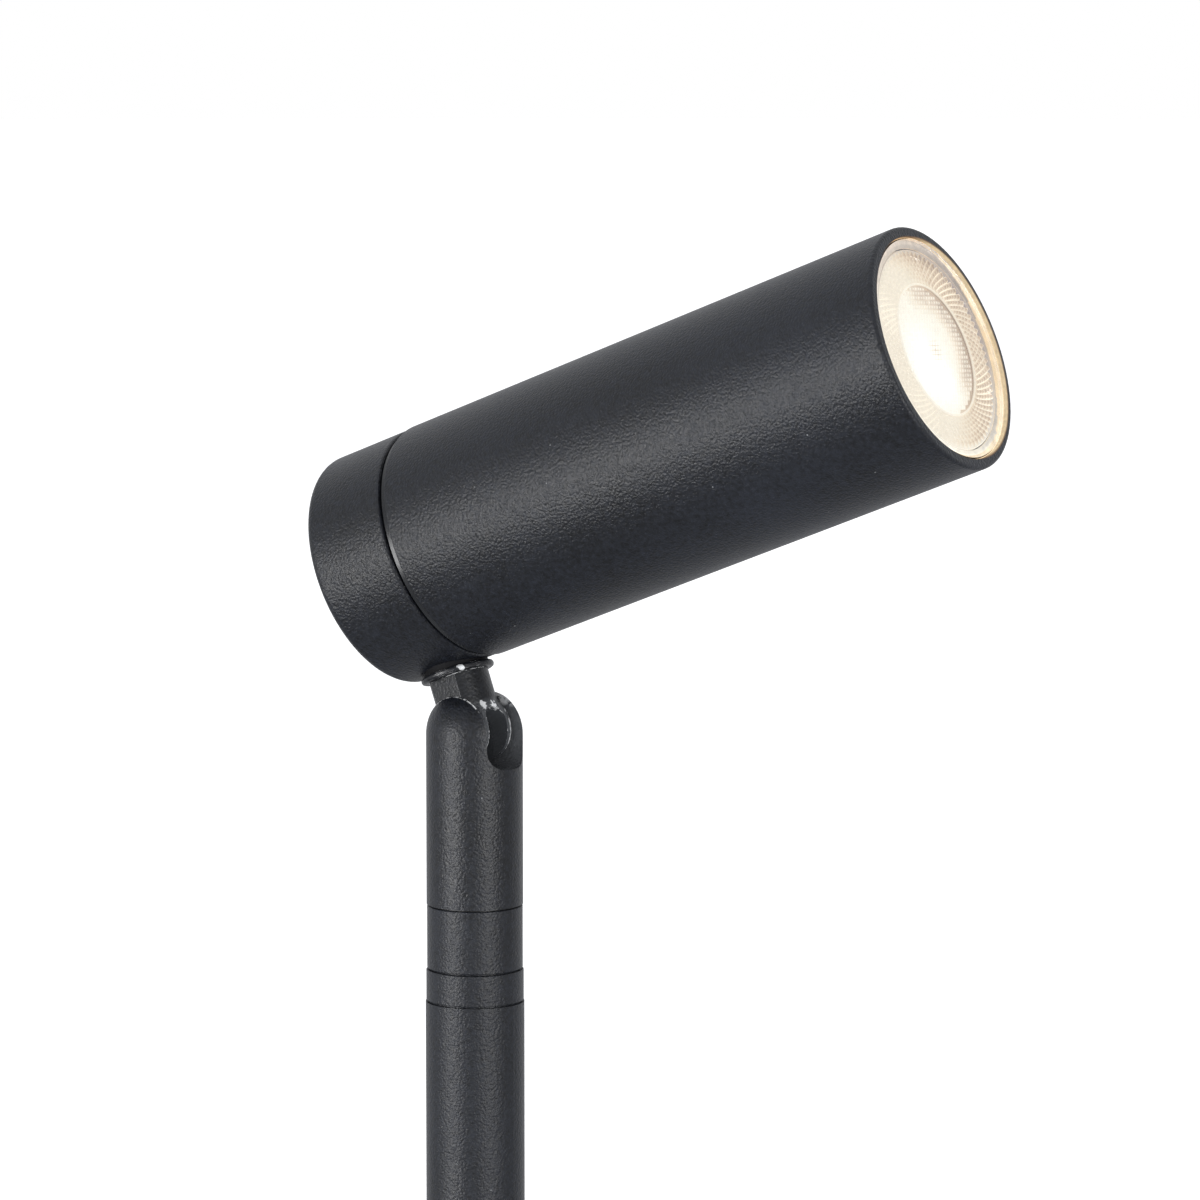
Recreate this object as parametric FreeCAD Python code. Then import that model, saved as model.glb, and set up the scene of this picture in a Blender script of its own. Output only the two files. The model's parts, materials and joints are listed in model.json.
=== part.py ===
import FreeCAD, Part
import math
import os

# Garden spotlight on a slim pole with a ground stake.
# Millimetres, +Z up.  Origin: centre of the ground collar's underside, at soil
# level.  The spike is below z = 0.  The head points towards +X.  The pole axis is
# the Z axis, and the tilt axis runs along Y through (0, 0, PIVOT_Z).

os.makedirs("parts", exist_ok=True)
V = FreeCAD.Vector

# ------------------------------------------------------------------ dimensions
PIVOT_Z = 278.0          # tilt axis above the soil
TILT_DEG = 21.378        # neck leans back and head rises by this angle at rest

# head, in its own frame: x along the head axis, z along the neck, pivot at 0
HEAD_TURN = 8.0         # head turned on the neck by this angle, towards +Y
NECK_X = 1.4            # neck axis ahead of the head outlines' zero
HEAD_H = 45.85           # head axis above the tilt axis
CAP_R = 29.8
CAP_X0 = -12.14          # rear face
CAP_X1 = 10.9            # front face, at the groove
CAP_IN_R = 26.3
CAP_WALL = 3.0
SPIGOT_R = 27.0          # male thread of the cap
SPIGOT_IN_R = 25.0
SPIGOT_X1 = 20.9
THREAD_PITCH = 1.5
BARREL_R = 30.1
BARREL_X0 = 12.9
BARREL_X1 = 155.5
BARREL_IN_R = 27.6
THREAD_FIT = 0.05
RIM_R = 27.5             # front opening
LEDGE_R = 26.0
LEDGE_X0 = 150.0
LEDGE_X1 = 152.4
GLASS_R = 27.3
GLASS_X0 = 153.0
GLASS_X1 = 155.1
SEAL_R = 29.35

# neck
NECK_R = 7.5
NECK_FLATS = 12.6
EYE_R = 7.8
EYE_ROUND = 2.2
CHANNEL_W = 7.0
ARCH_Z = 3.8
FLANGE_R = 9.3
FLANGE_Z0 = 13.98
FLANGE_Z1 = 15.63
STUD_R = 6.0
STUD_Z1 = 27.4
CABLE_BORE_R = 3.1
NUT_AF = 15.0
BOSS_Z = 20.6            # flat seat for the neck's washer inside the cap

# knuckle
KNUCKLE_R = 12.0
DOME_Z = -1.0            # centre of the domed top, from the pivot
SLOT_W = 13.7
SLOT_Z = -8.9
SLOT_FILLET = 4.6
PIN_R = 2.0
PIN_FIT = 0.05
SEC_A = -43.45           # bottom of the knuckle holder
SEC_B0, SEC_B1 = -59.45, -43.85
SEC_C0, SEC_C1 = -67.55, -59.85
TUBE_TOP = -67.95
SLEEVE_R = 11.9
PLUG_R = 12.13
SWIVEL_R = 8.0
SWIVEL_FIT = 0.05

# pole, foot and stake
TUBE_R = 12.3
TUBE_IN_R = 10.8
TUBE_Z0 = 35.0
FOOT_R = 17.0
FOOT_Z0, FOOT_Z1 = 5.0, 55.0
COLLAR_R = 29.0
COLLAR_T = 5.0
SPIKE_LEN = 175.0
SPIKE_W = 34.0
RIB_T = 3.2
STAKE_STUD_R = 8.0
GLAND_Z = 27.5
GLAND_THREAD_R = 6.0
GLAND_BORE_R = 3.6
CABLE_R = 2.6

# lamp: 50 mm reflector size with a two-pin twist base
LAMP_R = 25.0
LAMP_X1 = 152.9
LAMP_LEN = 50.0
PIN_OFF = 5.0
HOLDER_X0 = 84.9


# ------------------------------------------------------------------- helpers
def cyl(r, p0, p1):
    p0, p1 = V(*p0), V(*p1)
    d = p1.sub(p0)
    return Part.makeCylinder(r, d.Length, p0, d)


def box(x0, x1, y0, y1, z0, z1):
    return Part.makeBox(x1 - x0, y1 - y0, z1 - z0, V(x0, y0, z0))


def revolve(points, base, axis, u):
    """Solid of revolution of a closed (along, radius) outline."""
    base, axis, u = V(*base), V(*axis), V(*u)
    pts = [base + axis * a + u * r for a, r in points]
    pts.append(pts[0])
    return Part.Face(Part.makePolygon(pts)).revolve(base, axis, 360)


def rev_x(points):
    """Turned about the head axis."""
    return revolve(points, (0, 0, HEAD_H), (1, 0, 0), (0, 0, 1))


def rev_z(points):
    """Turned about Z; points are (z, r)."""
    return revolve(points, (0, 0, 0), (0, 0, 1), (1, 0, 0))


def hexagon(af, p0, length, axis, turn=0.0):
    """Hexagonal prism; axis is 'x', 'y' or 'z'."""
    rc = af / math.sqrt(3)
    pts = []
    for i in range(7):
        a = math.radians(60 * i + turn)
        c, s = rc * math.cos(a), rc * math.sin(a)
        if axis == "z":
            pts.append(V(p0[0] + c, p0[1] + s, p0[2]))
        elif axis == "x":
            pts.append(V(p0[0], p0[1] + c, p0[2] + s))
        else:
            pts.append(V(p0[0] + c, p0[1], p0[2] + s))
    d = {"x": V(length, 0, 0), "y": V(0, length, 0), "z": V(0, 0, length)}[axis]
    return Part.Face(Part.makePolygon(pts)).extrude(d)


def tube(points, r, name):
    """Round bar along straight runs joined by tangent arcs."""
    pts = [V(*p) for p in points]
    edges = []
    start = pts[0]
    radii = []
    for i in range(1, len(pts) - 1):
        a, b, c = pts[i - 1], pts[i], pts[i + 1]
        d0, d1 = b.sub(a), c.sub(b)
        short = min(d0.Length, d1.Length)
        d0.normalize()
        d1.normalize()
        turn = d0.getAngle(d1)
        rad = 0.45 * short / math.tan(turn / 2)
        radii.append(round(rad, 1))
        t = 0.45 * short
        p, q = b - d0 * t, b + d1 * t
        n = (d1 - d0 * d0.dot(d1))
        n.normalize()
        centre = p + n * rad
        mid_dir = b.sub(centre)
        mid_dir.normalize()
        mid = centre + mid_dir * rad
        edges.append(Part.LineSegment(start, p).toShape())
        edges.append(Part.Arc(p, mid, q).toShape())
        start = q
    edges.append(Part.LineSegment(start, pts[-1]).toShape())
    wire = Part.Wire(edges)
    d = pts[1].sub(pts[0])
    ring = Part.Wire([Part.makeCircle(r, pts[0], d)])
    s = wire.makePipeShell([ring], True, False)
    if s.ShapeType != "Solid":
        s = Part.makeSolid(s)
    if s.Volume < 0:
        s.reverse()
    print(name, "length", round(wire.Length, 1), "radii", radii,
          "volume ratio", round(s.Volume / (math.pi * r * r * wire.Length), 4))
    return s


def fuse(*shapes):
    s = shapes[0]
    for o in shapes[1:]:
        s = s.fuse(o)
    return s.removeSplitter()


def cut(s, *tools):
    for o in tools:
        s = s.cut(o)
    return s.removeSplitter()


def up(s):
    """Knuckle pieces are drawn with the pivot at 0 and lifted to its height."""
    s = s.copy()
    s.translate(V(0, 0, PIVOT_Z))
    return s


def tilted(s):
    """Neck pieces are drawn upright and tilted back about the pivot."""
    s = s.copy()
    s.rotate(V(0, 0, 0), V(0, 1, 0), -TILT_DEG)
    s.translate(V(0, 0, PIVOT_Z))
    return s


def head(s):
    """Head pieces are drawn level, turned on the neck and tilted with it."""
    s = s.copy()
    s.translate(V(-NECK_X, 0, 0))
    s.rotate(V(0, 0, 0), V(0, 0, 1), HEAD_TURN)
    return tilted(s)


PARTS = {}


def add(name, shape):
    PARTS[name] = shape


# ------------------------------------------------------------------ the stake
ribs = None
half = SPIKE_W / 2
prof = [(-half, 0.2), (half, 0.2), (half - 1.5, -14), (half - 6.5, -120),
        (2.0, -SPIKE_LEN + 3), (0.6, -SPIKE_LEN), (-0.6, -SPIKE_LEN),
        (-2.0, -SPIKE_LEN + 3), (-half + 6.5, -120), (-half + 1.5, -14)]
for along_x in (True, False):
    pts = [V(a, -RIB_T / 2, z) if along_x else V(-RIB_T / 2, a, z) for a, z in prof]
    pts.append(pts[0])
    d = V(0, RIB_T, 0) if along_x else V(RIB_T, 0, 0)
    rib = Part.Face(Part.makePolygon(pts)).extrude(d)
    ribs = rib if ribs is None else ribs.fuse(rib)
# three stiffening webs across the ribs
for z, r in ((-22, 13.5), (-62, 11.5), (-102, 9.5)):
    ribs = ribs.fuse(cyl(r, (0, 0, z - 2.5), (0, 0, z)))
collar = rev_z([(0, 0), (0, COLLAR_R - 1.2)] +
               [(0.4, COLLAR_R - 0.35), (1.2, COLLAR_R), (2.2, COLLAR_R),
                (3.6, COLLAR_R - 2.0), (COLLAR_T, 20.0), (COLLAR_T, 0)])
stud = rev_z([(COLLAR_T - 1, 0), (COLLAR_T - 1, STAKE_STUD_R), (18.0, STAKE_STUD_R),
              (19.0, STAKE_STUD_R - 1), (19.0, 0)])
add("stake_spike", fuse(ribs, collar, stud))

# ------------------------------------------------------------------ the foot
foot = rev_z([(FOOT_Z0, STAKE_STUD_R), (FOOT_Z0, FOOT_R - 0.8), (FOOT_Z0 + 0.8, FOOT_R),
              (41.0, FOOT_R), (42.2, FOOT_R - 0.5), (FOOT_Z1 - 1.0, 14.6),
              (FOOT_Z1, 13.9), (FOOT_Z1, TUBE_R), (TUBE_Z0, TUBE_R), (TUBE_Z0, 9.5),
              (20.0, 9.5), (20.0, STAKE_STUD_R)])
gland_face = -FOOT_R + 1.2
foot = foot.cut(cyl(9.4, (gland_face, 0, GLAND_Z), (gland_face - 6, 0, GLAND_Z)))
foot = foot.cut(cyl(GLAND_THREAD_R, (-5, 0, GLAND_Z), (gland_face - 1, 0, GLAND_Z)))
for s in (1, -1):
    foot = foot.cut(cyl(2.5, (0, s * 12.3, 48.0), (0, s * 18, 48.0)))
add("base_adapter", foot.removeSplitter())
screws = []
for s in (1, -1):
    g = cyl(2.5, (0, s * TUBE_R, 48.0), (0, s * 15.2, 48.0))
    g = g.cut(hexagon(2.5, (0, s * 13.4, 48.0), s * 3.0, "y"))
    screws.append(g)
add("tube_clamp_screws", Part.makeCompound(screws))

# cable gland on the foot's back: threaded body, split seal, dome nut
g0 = gland_face
body = fuse(cyl(GLAND_THREAD_R, (-9.7, 0, GLAND_Z), (g0, 0, GLAND_Z)),
            hexagon(14.0, (g0 - 4.0, 0, GLAND_Z), 4.0, "x"),
            cyl(6.6, (g0 - 4.0, 0, GLAND_Z), (g0 - 10.0, 0, GLAND_Z)))
body = cut(body, cyl(4.2, (-9, 0, GLAND_Z), (g0 - 5.0, 0, GLAND_Z)),
           cyl(5.2, (g0 - 4.9, 0, GLAND_Z), (g0 - 10.5, 0, GLAND_Z)))
add("gland_body", body)
add("gland_seal", cut(cyl(5.2, (g0 - 4.9, 0, GLAND_Z), (g0 - 10.0, 0, GLAND_Z)),
                      cyl(GLAND_BORE_R, (g0 - 4, 0, GLAND_Z), (g0 - 11, 0, GLAND_Z))))
nut = revolve([(0, 0), (0, 8.0), (1.0, 8.4), (7.6, 8.4), (9.6, 7.4), (10.4, 5.6),
               (10.4, 0)], (g0 - 4.6, 0, GLAND_Z), (-1, 0, 0), (0, 0, 1))
nut = nut.common(fuse(hexagon(15.6, (g0 - 15.2, 0, GLAND_Z), 10.8, "x"),
                      cyl(7.9, (g0 - 15.2, 0, GLAND_Z), (g0 - 4.5, 0, GLAND_Z))))
nut = cut(nut, cyl(6.6, (g0 - 4, 0, GLAND_Z), (g0 - 10.05, 0, GLAND_Z)),
          cyl(4.1, (g0 - 9, 0, GLAND_Z), (g0 - 16, 0, GLAND_Z)))
add("gland_nut", nut)

# splice block in the foot's chamber, and the cable up the pole
splice = box(-3.5, 5.5, -4.5, 4.5, 20.6, 33.0)
splice = splice.makeFillet(0.8, splice.Edges)
add("splice_connector", splice)
add("pole_cable", cyl(CABLE_R, (0, 0, 33.0), (0, 0, PIVOT_Z - 14.0)))

# ------------------------------------------------------------------ the pole
add("pole_tube", cut(cyl(TUBE_R, (0, 0, TUBE_Z0), (0, 0, PIVOT_Z + TUBE_TOP)),
                     cyl(TUBE_IN_R, (0, 0, TUBE_Z0 - 1), (0, 0, PIVOT_Z))))
plug = rev_z([(-82.0, 3.6), (-82.0, TUBE_IN_R - 0.6), (-81.4, TUBE_IN_R),
              (TUBE_TOP, TUBE_IN_R), (TUBE_TOP, 11.5), (SEC_C0, 11.5),
              (SEC_C0, PLUG_R - 0.15), (SEC_C0 + 0.15, PLUG_R),
              (SEC_C1 - 0.15, PLUG_R), (SEC_C1, PLUG_R - 0.15), (SEC_C1, 11.1),
              (SEC_B0, 11.1), (SEC_B0, 7.0), (-51.0, 7.0), (-50.0, 6.2), (-50.0, 3.6)])
add("tube_plug", up(plug))
sleeve = rev_z([(SEC_B0, 7.0), (SEC_B0, SLEEVE_R - 0.15), (SEC_B0 + 0.15, SLEEVE_R),
                (SEC_B1 - 0.15, SLEEVE_R), (SEC_B1, SLEEVE_R - 0.15),
                (SEC_B1, SWIVEL_R), (-39.3, SWIVEL_R), (-39.3, 7.0), (-35.7, 7.0),
                (-35.7, SWIVEL_R), (-32.4, SWIVEL_R), (-31.6, SWIVEL_R - 0.8),
                (-31.6, 3.6), (-49.6, 3.6), (-49.6, 7.0)])
# a web left in the groove stops the swivel before it winds up the cable
web = Part.makeCylinder(SWIVEL_R, 3.8, V(0, 0, -39.4), V(0, 0, 1), 10.0)
web.rotate(V(0, 0, 0), V(0, 0, 1), -5.0)
web = web.cut(cyl(6.5, (0, 0, -40), (0, 0, -35)))
add("swivel_sleeve", up(fuse(sleeve, web)))
add("swivel_washer", up(rev_z([(SEC_B1, 8.1), (SEC_B1, 11.0), (SEC_A, 11.0), (SEC_A, 8.1)])))

# --------------------------------------------------------------- the knuckle
k = fuse(cyl(KNUCKLE_R, (0, 0, SEC_A), (0, 0, DOME_Z)),
         Part.makeSphere(KNUCKLE_R, V(0, 0, DOME_Z)))
sw = SLOT_W / 2
yf, zf = sw - SLOT_FILLET, SLOT_Z + SLOT_FILLET
slot = fuse(box(-20, 20, -sw, sw, zf, 20), box(-20, 20, -yf, yf, SLOT_Z, zf + 1),
            cyl(SLOT_FILLET, (-20, yf, zf), (20, yf, zf)),
            cyl(SLOT_FILLET, (-20, -yf, zf), (20, -yf, zf)))
k = k.cut(slot)
k = k.cut(cyl(3.6, (0, 0, -35), (0, 0, -5)))
k = k.cut(cyl(SWIVEL_R + SWIVEL_FIT, (0, 0, SEC_A - 1), (0, 0, -31.2)))
k = k.cut(cyl(2.0, (-6, 0, -37.5), (-13, 0, -37.5)))
k = k.cut(cyl(3.0, (0, 5, 0), (0, 13, 0)))
k = k.cut(cyl(PIN_R + PIN_FIT, (0, -5, 0), (0, -9.4, 0)))
add("knuckle_holder", up(k.removeSplitter()))
ss = fuse(cyl(1.5, (-7.35, 0, -37.5), (-8.6, 0, -37.5)),
          cyl(2.0, (-8.5, 0, -37.5), (-11.7, 0, -37.5)))
ss = cut(ss, hexagon(2.0, (-12.0, 0, -37.5), 2.0, "x"))
add("swivel_set_screw", up(ss))
ps = fuse(cyl(3.0, (0, 6.9, 0), (0, 10.9, 0)), cyl(PIN_R, (0, 3.7, 0), (0, 6.95, 0)))
ps = cut(ps, hexagon(3.0, (0, 9.0, 0), 2.2, "y"))
add("pivot_screw", up(ps))
wash = []
for s in (1, -1):
    w = cyl(4.1, (0, s * 6.32, 0), (0, s * 6.83, 0))
    w = w.cut(cyl(PIN_R + 0.1, (0, s * 6.2, 0), (0, s * 6.95, 0)))
    wash.append(w)
add("friction_washers", up(Part.makeCompound(wash)))

# ------------------------------------------------------------------ the neck
bar = cyl(NECK_R, (0, 0, 0), (0, 0, FLANGE_Z0 + 0.2))
bar = bar.common(box(-20, 20, -NECK_FLATS / 2, NECK_FLATS / 2, -20, FLANGE_Z0 + 0.2))
hw, er = NECK_FLATS / 2, EYE_ROUND
arc = [(er * math.sin(math.radians(t)), er * math.cos(math.radians(t)))
       for t in (90, 78, 66, 54, 42, 30, 18, 8, 0)]
eye = revolve([(-hw, 0)] + [(-(hw - er) - a, EYE_R - er + b) for a, b in arc] +
              [(hw - er + a, EYE_R - er + b) for a, b in reversed(arc)] + [(hw, 0)],
              (0, 0, 0), (0, 1, 0), (0, 0, 1))
neck = fuse(bar, eye,
            rev_z([(FLANGE_Z0, 0), (FLANGE_Z0, FLANGE_R - 0.6), (FLANGE_Z0 + 0.2, FLANGE_R - 0.2),
                   (FLANGE_Z0 + 0.6, FLANGE_R), (FLANGE_Z1 - 0.6, FLANGE_R),
                   (FLANGE_Z1 - 0.2, FLANGE_R - 0.2), (FLANGE_Z1, FLANGE_R - 0.6),
                   (FLANGE_Z1, STUD_R), (STUD_Z1 - 0.8, STUD_R), (STUD_Z1, STUD_R - 0.8),
                   (STUD_Z1, 0)]))
ch = CHANNEL_W / 2
arch = fuse(box(-20, 20, -ch, ch, -20, ARCH_Z - ch),
            cyl(ch, (-20, 0, ARCH_Z - ch), (20, 0, ARCH_Z - ch)))
neck = cut(neck, arch, cyl(CABLE_BORE_R, (0, 0, 0), (0, 0, 40)),
           cyl(PIN_R + PIN_FIT, (0, 1, 0), (0, 10, 0)),
           cyl(PIN_R, (0, -1, 0), (0, -10, 0)))
add("neck", tilted(neck.removeSplitter()))
add("pivot_pin", tilted(cyl(PIN_R, (0, -3.6, 0), (0, -9.2, 0))))
shell_cut = cyl(CAP_R, (-20, 0, HEAD_H), (20, 0, HEAD_H))
gasket = cyl(8.2, (NECK_X, 0, FLANGE_Z1), (NECK_X, 0, FLANGE_Z1 + 5)).cut(shell_cut)
gasket = cut(gasket, cyl(STUD_R + 0.05, (NECK_X, 0, 10), (NECK_X, 0, 30)))
add("neck_gasket", head(gasket))
add("neck_washer", tilted(cut(cyl(8.6, (0, 0, BOSS_Z), (0, 0, BOSS_Z + 1.0)),
                              cyl(STUD_R + 0.1, (0, 0, 10), (0, 0, 30)))))
nz = BOSS_Z + 1.0
nn = hexagon(NUT_AF, (0, 0, nz), 4.4, "z", 30)
nn = nn.common(rev_z([(nz, 0), (nz, 7.9), (nz + 0.6, 8.6), (nz + 3.8, 8.6), (nz + 4.4, 7.9),
                      (nz + 4.4, 0)]))
add("neck_nut", tilted(cut(nn, cyl(STUD_R, (0, 0, 10), (0, 0, 30)))))

# -------------------------------------------------------------- the rear cap
r2 = 2.2
cap = rev_x([(CAP_X0, 0)] +
            [(CAP_X0 + r2 + x, CAP_R - r2 + y) for x, y in
             [(r2 * math.cos(math.radians(a)), r2 * math.sin(math.radians(a)))
              for a in (180, 168, 156, 144, 132, 120, 108, 96, 90)]] +
            [(CAP_X1 - 0.6, CAP_R), (CAP_X1 - 0.18, CAP_R - 0.16), (CAP_X1, CAP_R - 0.55),
             (CAP_X1, SPIGOT_R), (SPIGOT_X1 - 0.7, SPIGOT_R), (SPIGOT_X1, SPIGOT_R - 0.7),
             (SPIGOT_X1, SPIGOT_IN_R), (8.9, SPIGOT_IN_R), (8.9, CAP_IN_R),
             (CAP_X0 + CAP_WALL, CAP_IN_R), (CAP_X0 + CAP_WALL, 0)])
for i in range(5):
    x = 13.6 + THREAD_PITCH * i
    cap = cap.cut(rev_x([(x, SPIGOT_R - 0.45), (x - 0.35, SPIGOT_R + 0.1),
                         (x + 0.75, SPIGOT_R + 0.1), (x + 0.4, SPIGOT_R - 0.45)]))
inside = cyl(CAP_IN_R + 0.5, (CAP_X0 + 1, 0, HEAD_H), (8.9, 0, HEAD_H))
seat = box(-11.0, 8.9, -9.6, 9.6, 17.0, BOSS_Z).common(inside)
bosses = [cyl(5.0, (CAP_X0 + 1, s * 18, HEAD_H), (-4.1, s * 18, HEAD_H)) for s in (1, -1)]
bosses.append(cyl(4.2, (CAP_X0 + 1, 0, HEAD_H + 17), (-4.1, 0, HEAD_H + 17)))
cap = fuse(cap, seat, *bosses)
cap = cut(cap, cyl(STUD_R + 0.1, (NECK_X, 0, 10), (NECK_X, 0, 30)),
          cyl(8.9, (NECK_X, 0, BOSS_Z), (NECK_X, 0, BOSS_Z + 6)),
          cyl(2.0, (-10.4, 18, HEAD_H), (0, 18, HEAD_H)),
          cyl(2.0, (-10.4, -18, HEAD_H), (0, -18, HEAD_H)),
          cyl(2.0, (-10.4, 0, HEAD_H + 17), (0, 0, HEAD_H + 17)))
add("rear_cap", head(cap))

# ------------------------------------------------------ inside the head
br = fuse(box(83.7, 84.9, -14, 14, HEAD_H - 9, HEAD_H + 9),
          box(-4.1, 84.9, 12.8, 14, HEAD_H - 7, HEAD_H + 7),
          box(-4.1, 84.9, -14, -12.8, HEAD_H - 7, HEAD_H + 7),
          box(-4.1, -2.9, 12.8, 23, HEAD_H - 6, HEAD_H + 6),
          box(-4.1, -2.9, -23, -12.8, HEAD_H - 6, HEAD_H + 6),
          box(24.0, 40.0, -14, 14, HEAD_H - 7, HEAD_H - 5.8))
br = cut(br, cyl(2.1, (-5, 18, HEAD_H), (0, 18, HEAD_H)),
         cyl(2.1, (-5, -18, HEAD_H), (0, -18, HEAD_H)),
         cyl(3.0, (80, 0, HEAD_H + 3.5), (90, 0, HEAD_H + 3.5)),
         cyl(3.0, (80, 0, HEAD_H - 3.5), (90, 0, HEAD_H - 3.5)),
         cyl(1.6, (80, 9.5, HEAD_H), (90, 9.5, HEAD_H)),
         cyl(1.6, (80, -9.5, HEAD_H), (90, -9.5, HEAD_H)))
add("lamp_bracket", head(br))


def pan_screw(x_seat, y, z, r, length, head_r, head_t, direction):
    """Pan-head screw along x; direction is the way its head faces."""
    s = fuse(cyl(r, (x_seat, y, z), (x_seat - direction * length, y, z)),
             cyl(head_r, (x_seat, y, z), (x_seat + direction * head_t, y, z)))
    x1 = x_seat + direction * head_t
    s = s.cut(box(min(x1, x1 - direction * 1.0), max(x1, x1 - direction * 1.0),
                  y - 0.5, y + 0.5, z - head_r * 0.7, z + head_r * 0.7))
    return s.cut(box(min(x1, x1 - direction * 1.0), max(x1, x1 - direction * 1.0),
                     y - head_r * 0.7, y + head_r * 0.7, z - 0.5, z + 0.5))


add("bracket_screws", head(Part.makeCompound(
    [pan_screw(-2.9, s * 18, HEAD_H, 2.0, 7.2, 3.6, 2.2, 1) for s in (1, -1)])))
add("earth_screw", head(pan_screw(-3.0, 0, HEAD_H + 17, 2.0, 7.0, 3.6, 2.2, 1)))

# lampholder: ceramic disc with two kidney slots for the twist-in pins
hold = rev_x([(HOLDER_X0, 0), (HOLDER_X0, 13.2), (HOLDER_X0 + 0.8, 14.0),
              (99.4, 14.0), (100.2, 13.2), (100.2, 0)])
for base in (0, 180):
    ring = fuse(
        Part.makeCylinder(PIN_OFF + 2.8, 9.0, V(92.2, 0, HEAD_H), V(1, 0, 0), 360)
        .cut(cyl(PIN_OFF - 2.8, (90, 0, HEAD_H), (103, 0, HEAD_H))))
    # the sector between the locked and the released places of the pin
    pts = [V(92.2, 0, HEAD_H)]
    for a in (0, 10, 20, 30):
        t = math.radians(base + a)
        pts.append(V(92.2, 12 * math.cos(t), HEAD_H + 12 * math.sin(t)))
    pts.append(pts[0])
    sector = Part.Face(Part.makePolygon(pts)).extrude(V(9.0, 0, 0))
    hold = hold.cut(ring.common(sector))
    for a in (0, 30):
        t = math.radians(base + a)
        y, z = PIN_OFF * math.cos(t), HEAD_H + PIN_OFF * math.sin(t)
        hold = hold.cut(cyl(2.8, (92.2, y, z), (101.0, y, z)))
for s in (1, -1):
    hold = hold.cut(cyl(1.25, (84, s * 9.5, HEAD_H), (91, s * 9.5, HEAD_H)))
    hold = hold.cut(cyl(1.15, (84, 0, HEAD_H + s * 3.5), (88, 0, HEAD_H + s * 3.5)))
add("lamp_holder", head(hold.removeSplitter()))
cont = []
for s in (1, -1):
    cont.append(box(92.3, 92.8, s * PIN_OFF - 1.6, s * PIN_OFF + 1.6, HEAD_H - 1.6, HEAD_H + 1.6))
add("holder_contacts", head(Part.makeCompound(cont)))
add("holder_screws", head(Part.makeCompound(
    [fuse(cyl(1.25, (83.7, s * 9.5, HEAD_H), (90.2, s * 9.5, HEAD_H)),
          cyl(2.6, (82.1, s * 9.5, HEAD_H), (83.7, s * 9.5, HEAD_H)))
     for s in (1, -1)])))

# cable across the tilt joint, into the head, and the wiring
a = math.radians(TILT_DEG)
add("joint_cable", up(tube([(0, 0, -14), (0, 0, 0), (-14 * math.sin(a), 0, 14 * math.cos(a))],
                           CABLE_R, "joint_cable")))
add("head_cable", head(tube([(NECK_X, 0, 14), (NECK_X, 0, 31.0), (11.0, 0, 41.9), (24.0, 0, 41.9)],
                            CABLE_R, "head_cable")))
tb = box(24.0, 40.0, -10.5, 10.5, HEAD_H - 5.8, HEAD_H + 5.2)
tb = tb.makeFillet(0.8, tb.Edges)
for y in (-6.5, 0, 6.5):
    tb = tb.cut(cyl(2.2, (28.0, y, HEAD_H + 2.4), (28.0, y, HEAD_H + 6)))
    tb = tb.cut(cyl(2.2, (36.0, y, HEAD_H + 2.4), (36.0, y, HEAD_H + 6)))
add("terminal_block", head(tb.removeSplitter()))
ts = []
for y in (-6.5, 0, 6.5):
    for x in (28.0, 36.0):
        t = cyl(2.2, (x, y, HEAD_H + 2.4), (x, y, HEAD_H + 4.4))
        t = t.cut(box(x - 1.8, x + 1.8, y - 0.35, y + 0.35, HEAD_H + 3.6, HEAD_H + 5))
        ts.append(t)
add("terminal_screws", head(Part.makeCompound(ts)))
for name, s in (("lead_live", 1), ("lead_neutral", -1)):
    add(name, head(tube([(40.0, s * 6.5, HEAD_H), (54.0, s * 6.5, HEAD_H),
                         (70.0, 0, HEAD_H + s * 3.5), (88.0, 0, HEAD_H + s * 3.5)], 1.1, name)))
add("lead_earth", head(tube([(32.0, 0, HEAD_H + 5.2), (32.0, 0, HEAD_H + 21.5),
                             (15.0, 0, HEAD_H + 20.0), (-0.5, 0, HEAD_H + 17.0)], 1.1, "lead_earth")))

# ------------------------------------------------------------------ the lamp
lx1, lx0 = LAMP_X1, LAMP_X1 - LAMP_LEN
add("lamp_heatsink", head(rev_x([
    (lx1 - 1.2, 24.0), (lx1 - 1.2, 24.85), (lx1 - 1.6, LAMP_R), (lx1 - 6.5, LAMP_R),
    (lx1 - 9.0, 24.0), (lx1 - 20.0, 19.6), (lx1 - 30.0, 16.4), (lx1 - 34.0, 15.6),
    (lx1 - 34.0, 13.0), (lx1 - 21.0, 14.5), (lx1 - 21.0, 16.6), (lx1 - 9.6, 21.4),
    (lx1 - 6.6, 23.0), (lx1 - 3.2, 23.0), (lx1 - 3.2, 24.0)])))
add("lamp_base", head(cut(
    rev_x([(lx0, 0), (lx0, 11.2), (lx0 + 1.2, 12.2), (lx0 + 10, 12.6), (lx0 + 13.0, 15.0),
           (lx1 - 34.0, 15.6), (lx1 - 34.0, 13.0), (lx1 - 22.5, 13.0), (lx1 - 22.5, 11.6),
           (lx1 - 34.0, 11.6), (lx0 + 3.0, 10.0), (lx0 + 3.0, 0)]),
    cyl(1.5, (lx0 - 1, PIN_OFF, HEAD_H), (lx0 + 4, PIN_OFF, HEAD_H)),
    cyl(1.5, (lx0 - 1, -PIN_OFF, HEAD_H), (lx0 + 4, -PIN_OFF, HEAD_H)))))
pins = []
for s in (1, -1):
    y = s * PIN_OFF
    pins.append(fuse(cyl(1.5, (lx0 + 4.5, y, HEAD_H), (lx0 - 6.0, y, HEAD_H)),
                     cyl(2.45, (lx0 - 4.6, y, HEAD_H), (lx0 - 7.2, y, HEAD_H))))
add("lamp_pins", head(Part.makeCompound(pins)))
add("led_board", head(cyl(16.0, (lx1 - 21.0, 0, HEAD_H), (lx1 - 19.6, 0, HEAD_H))))
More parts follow.
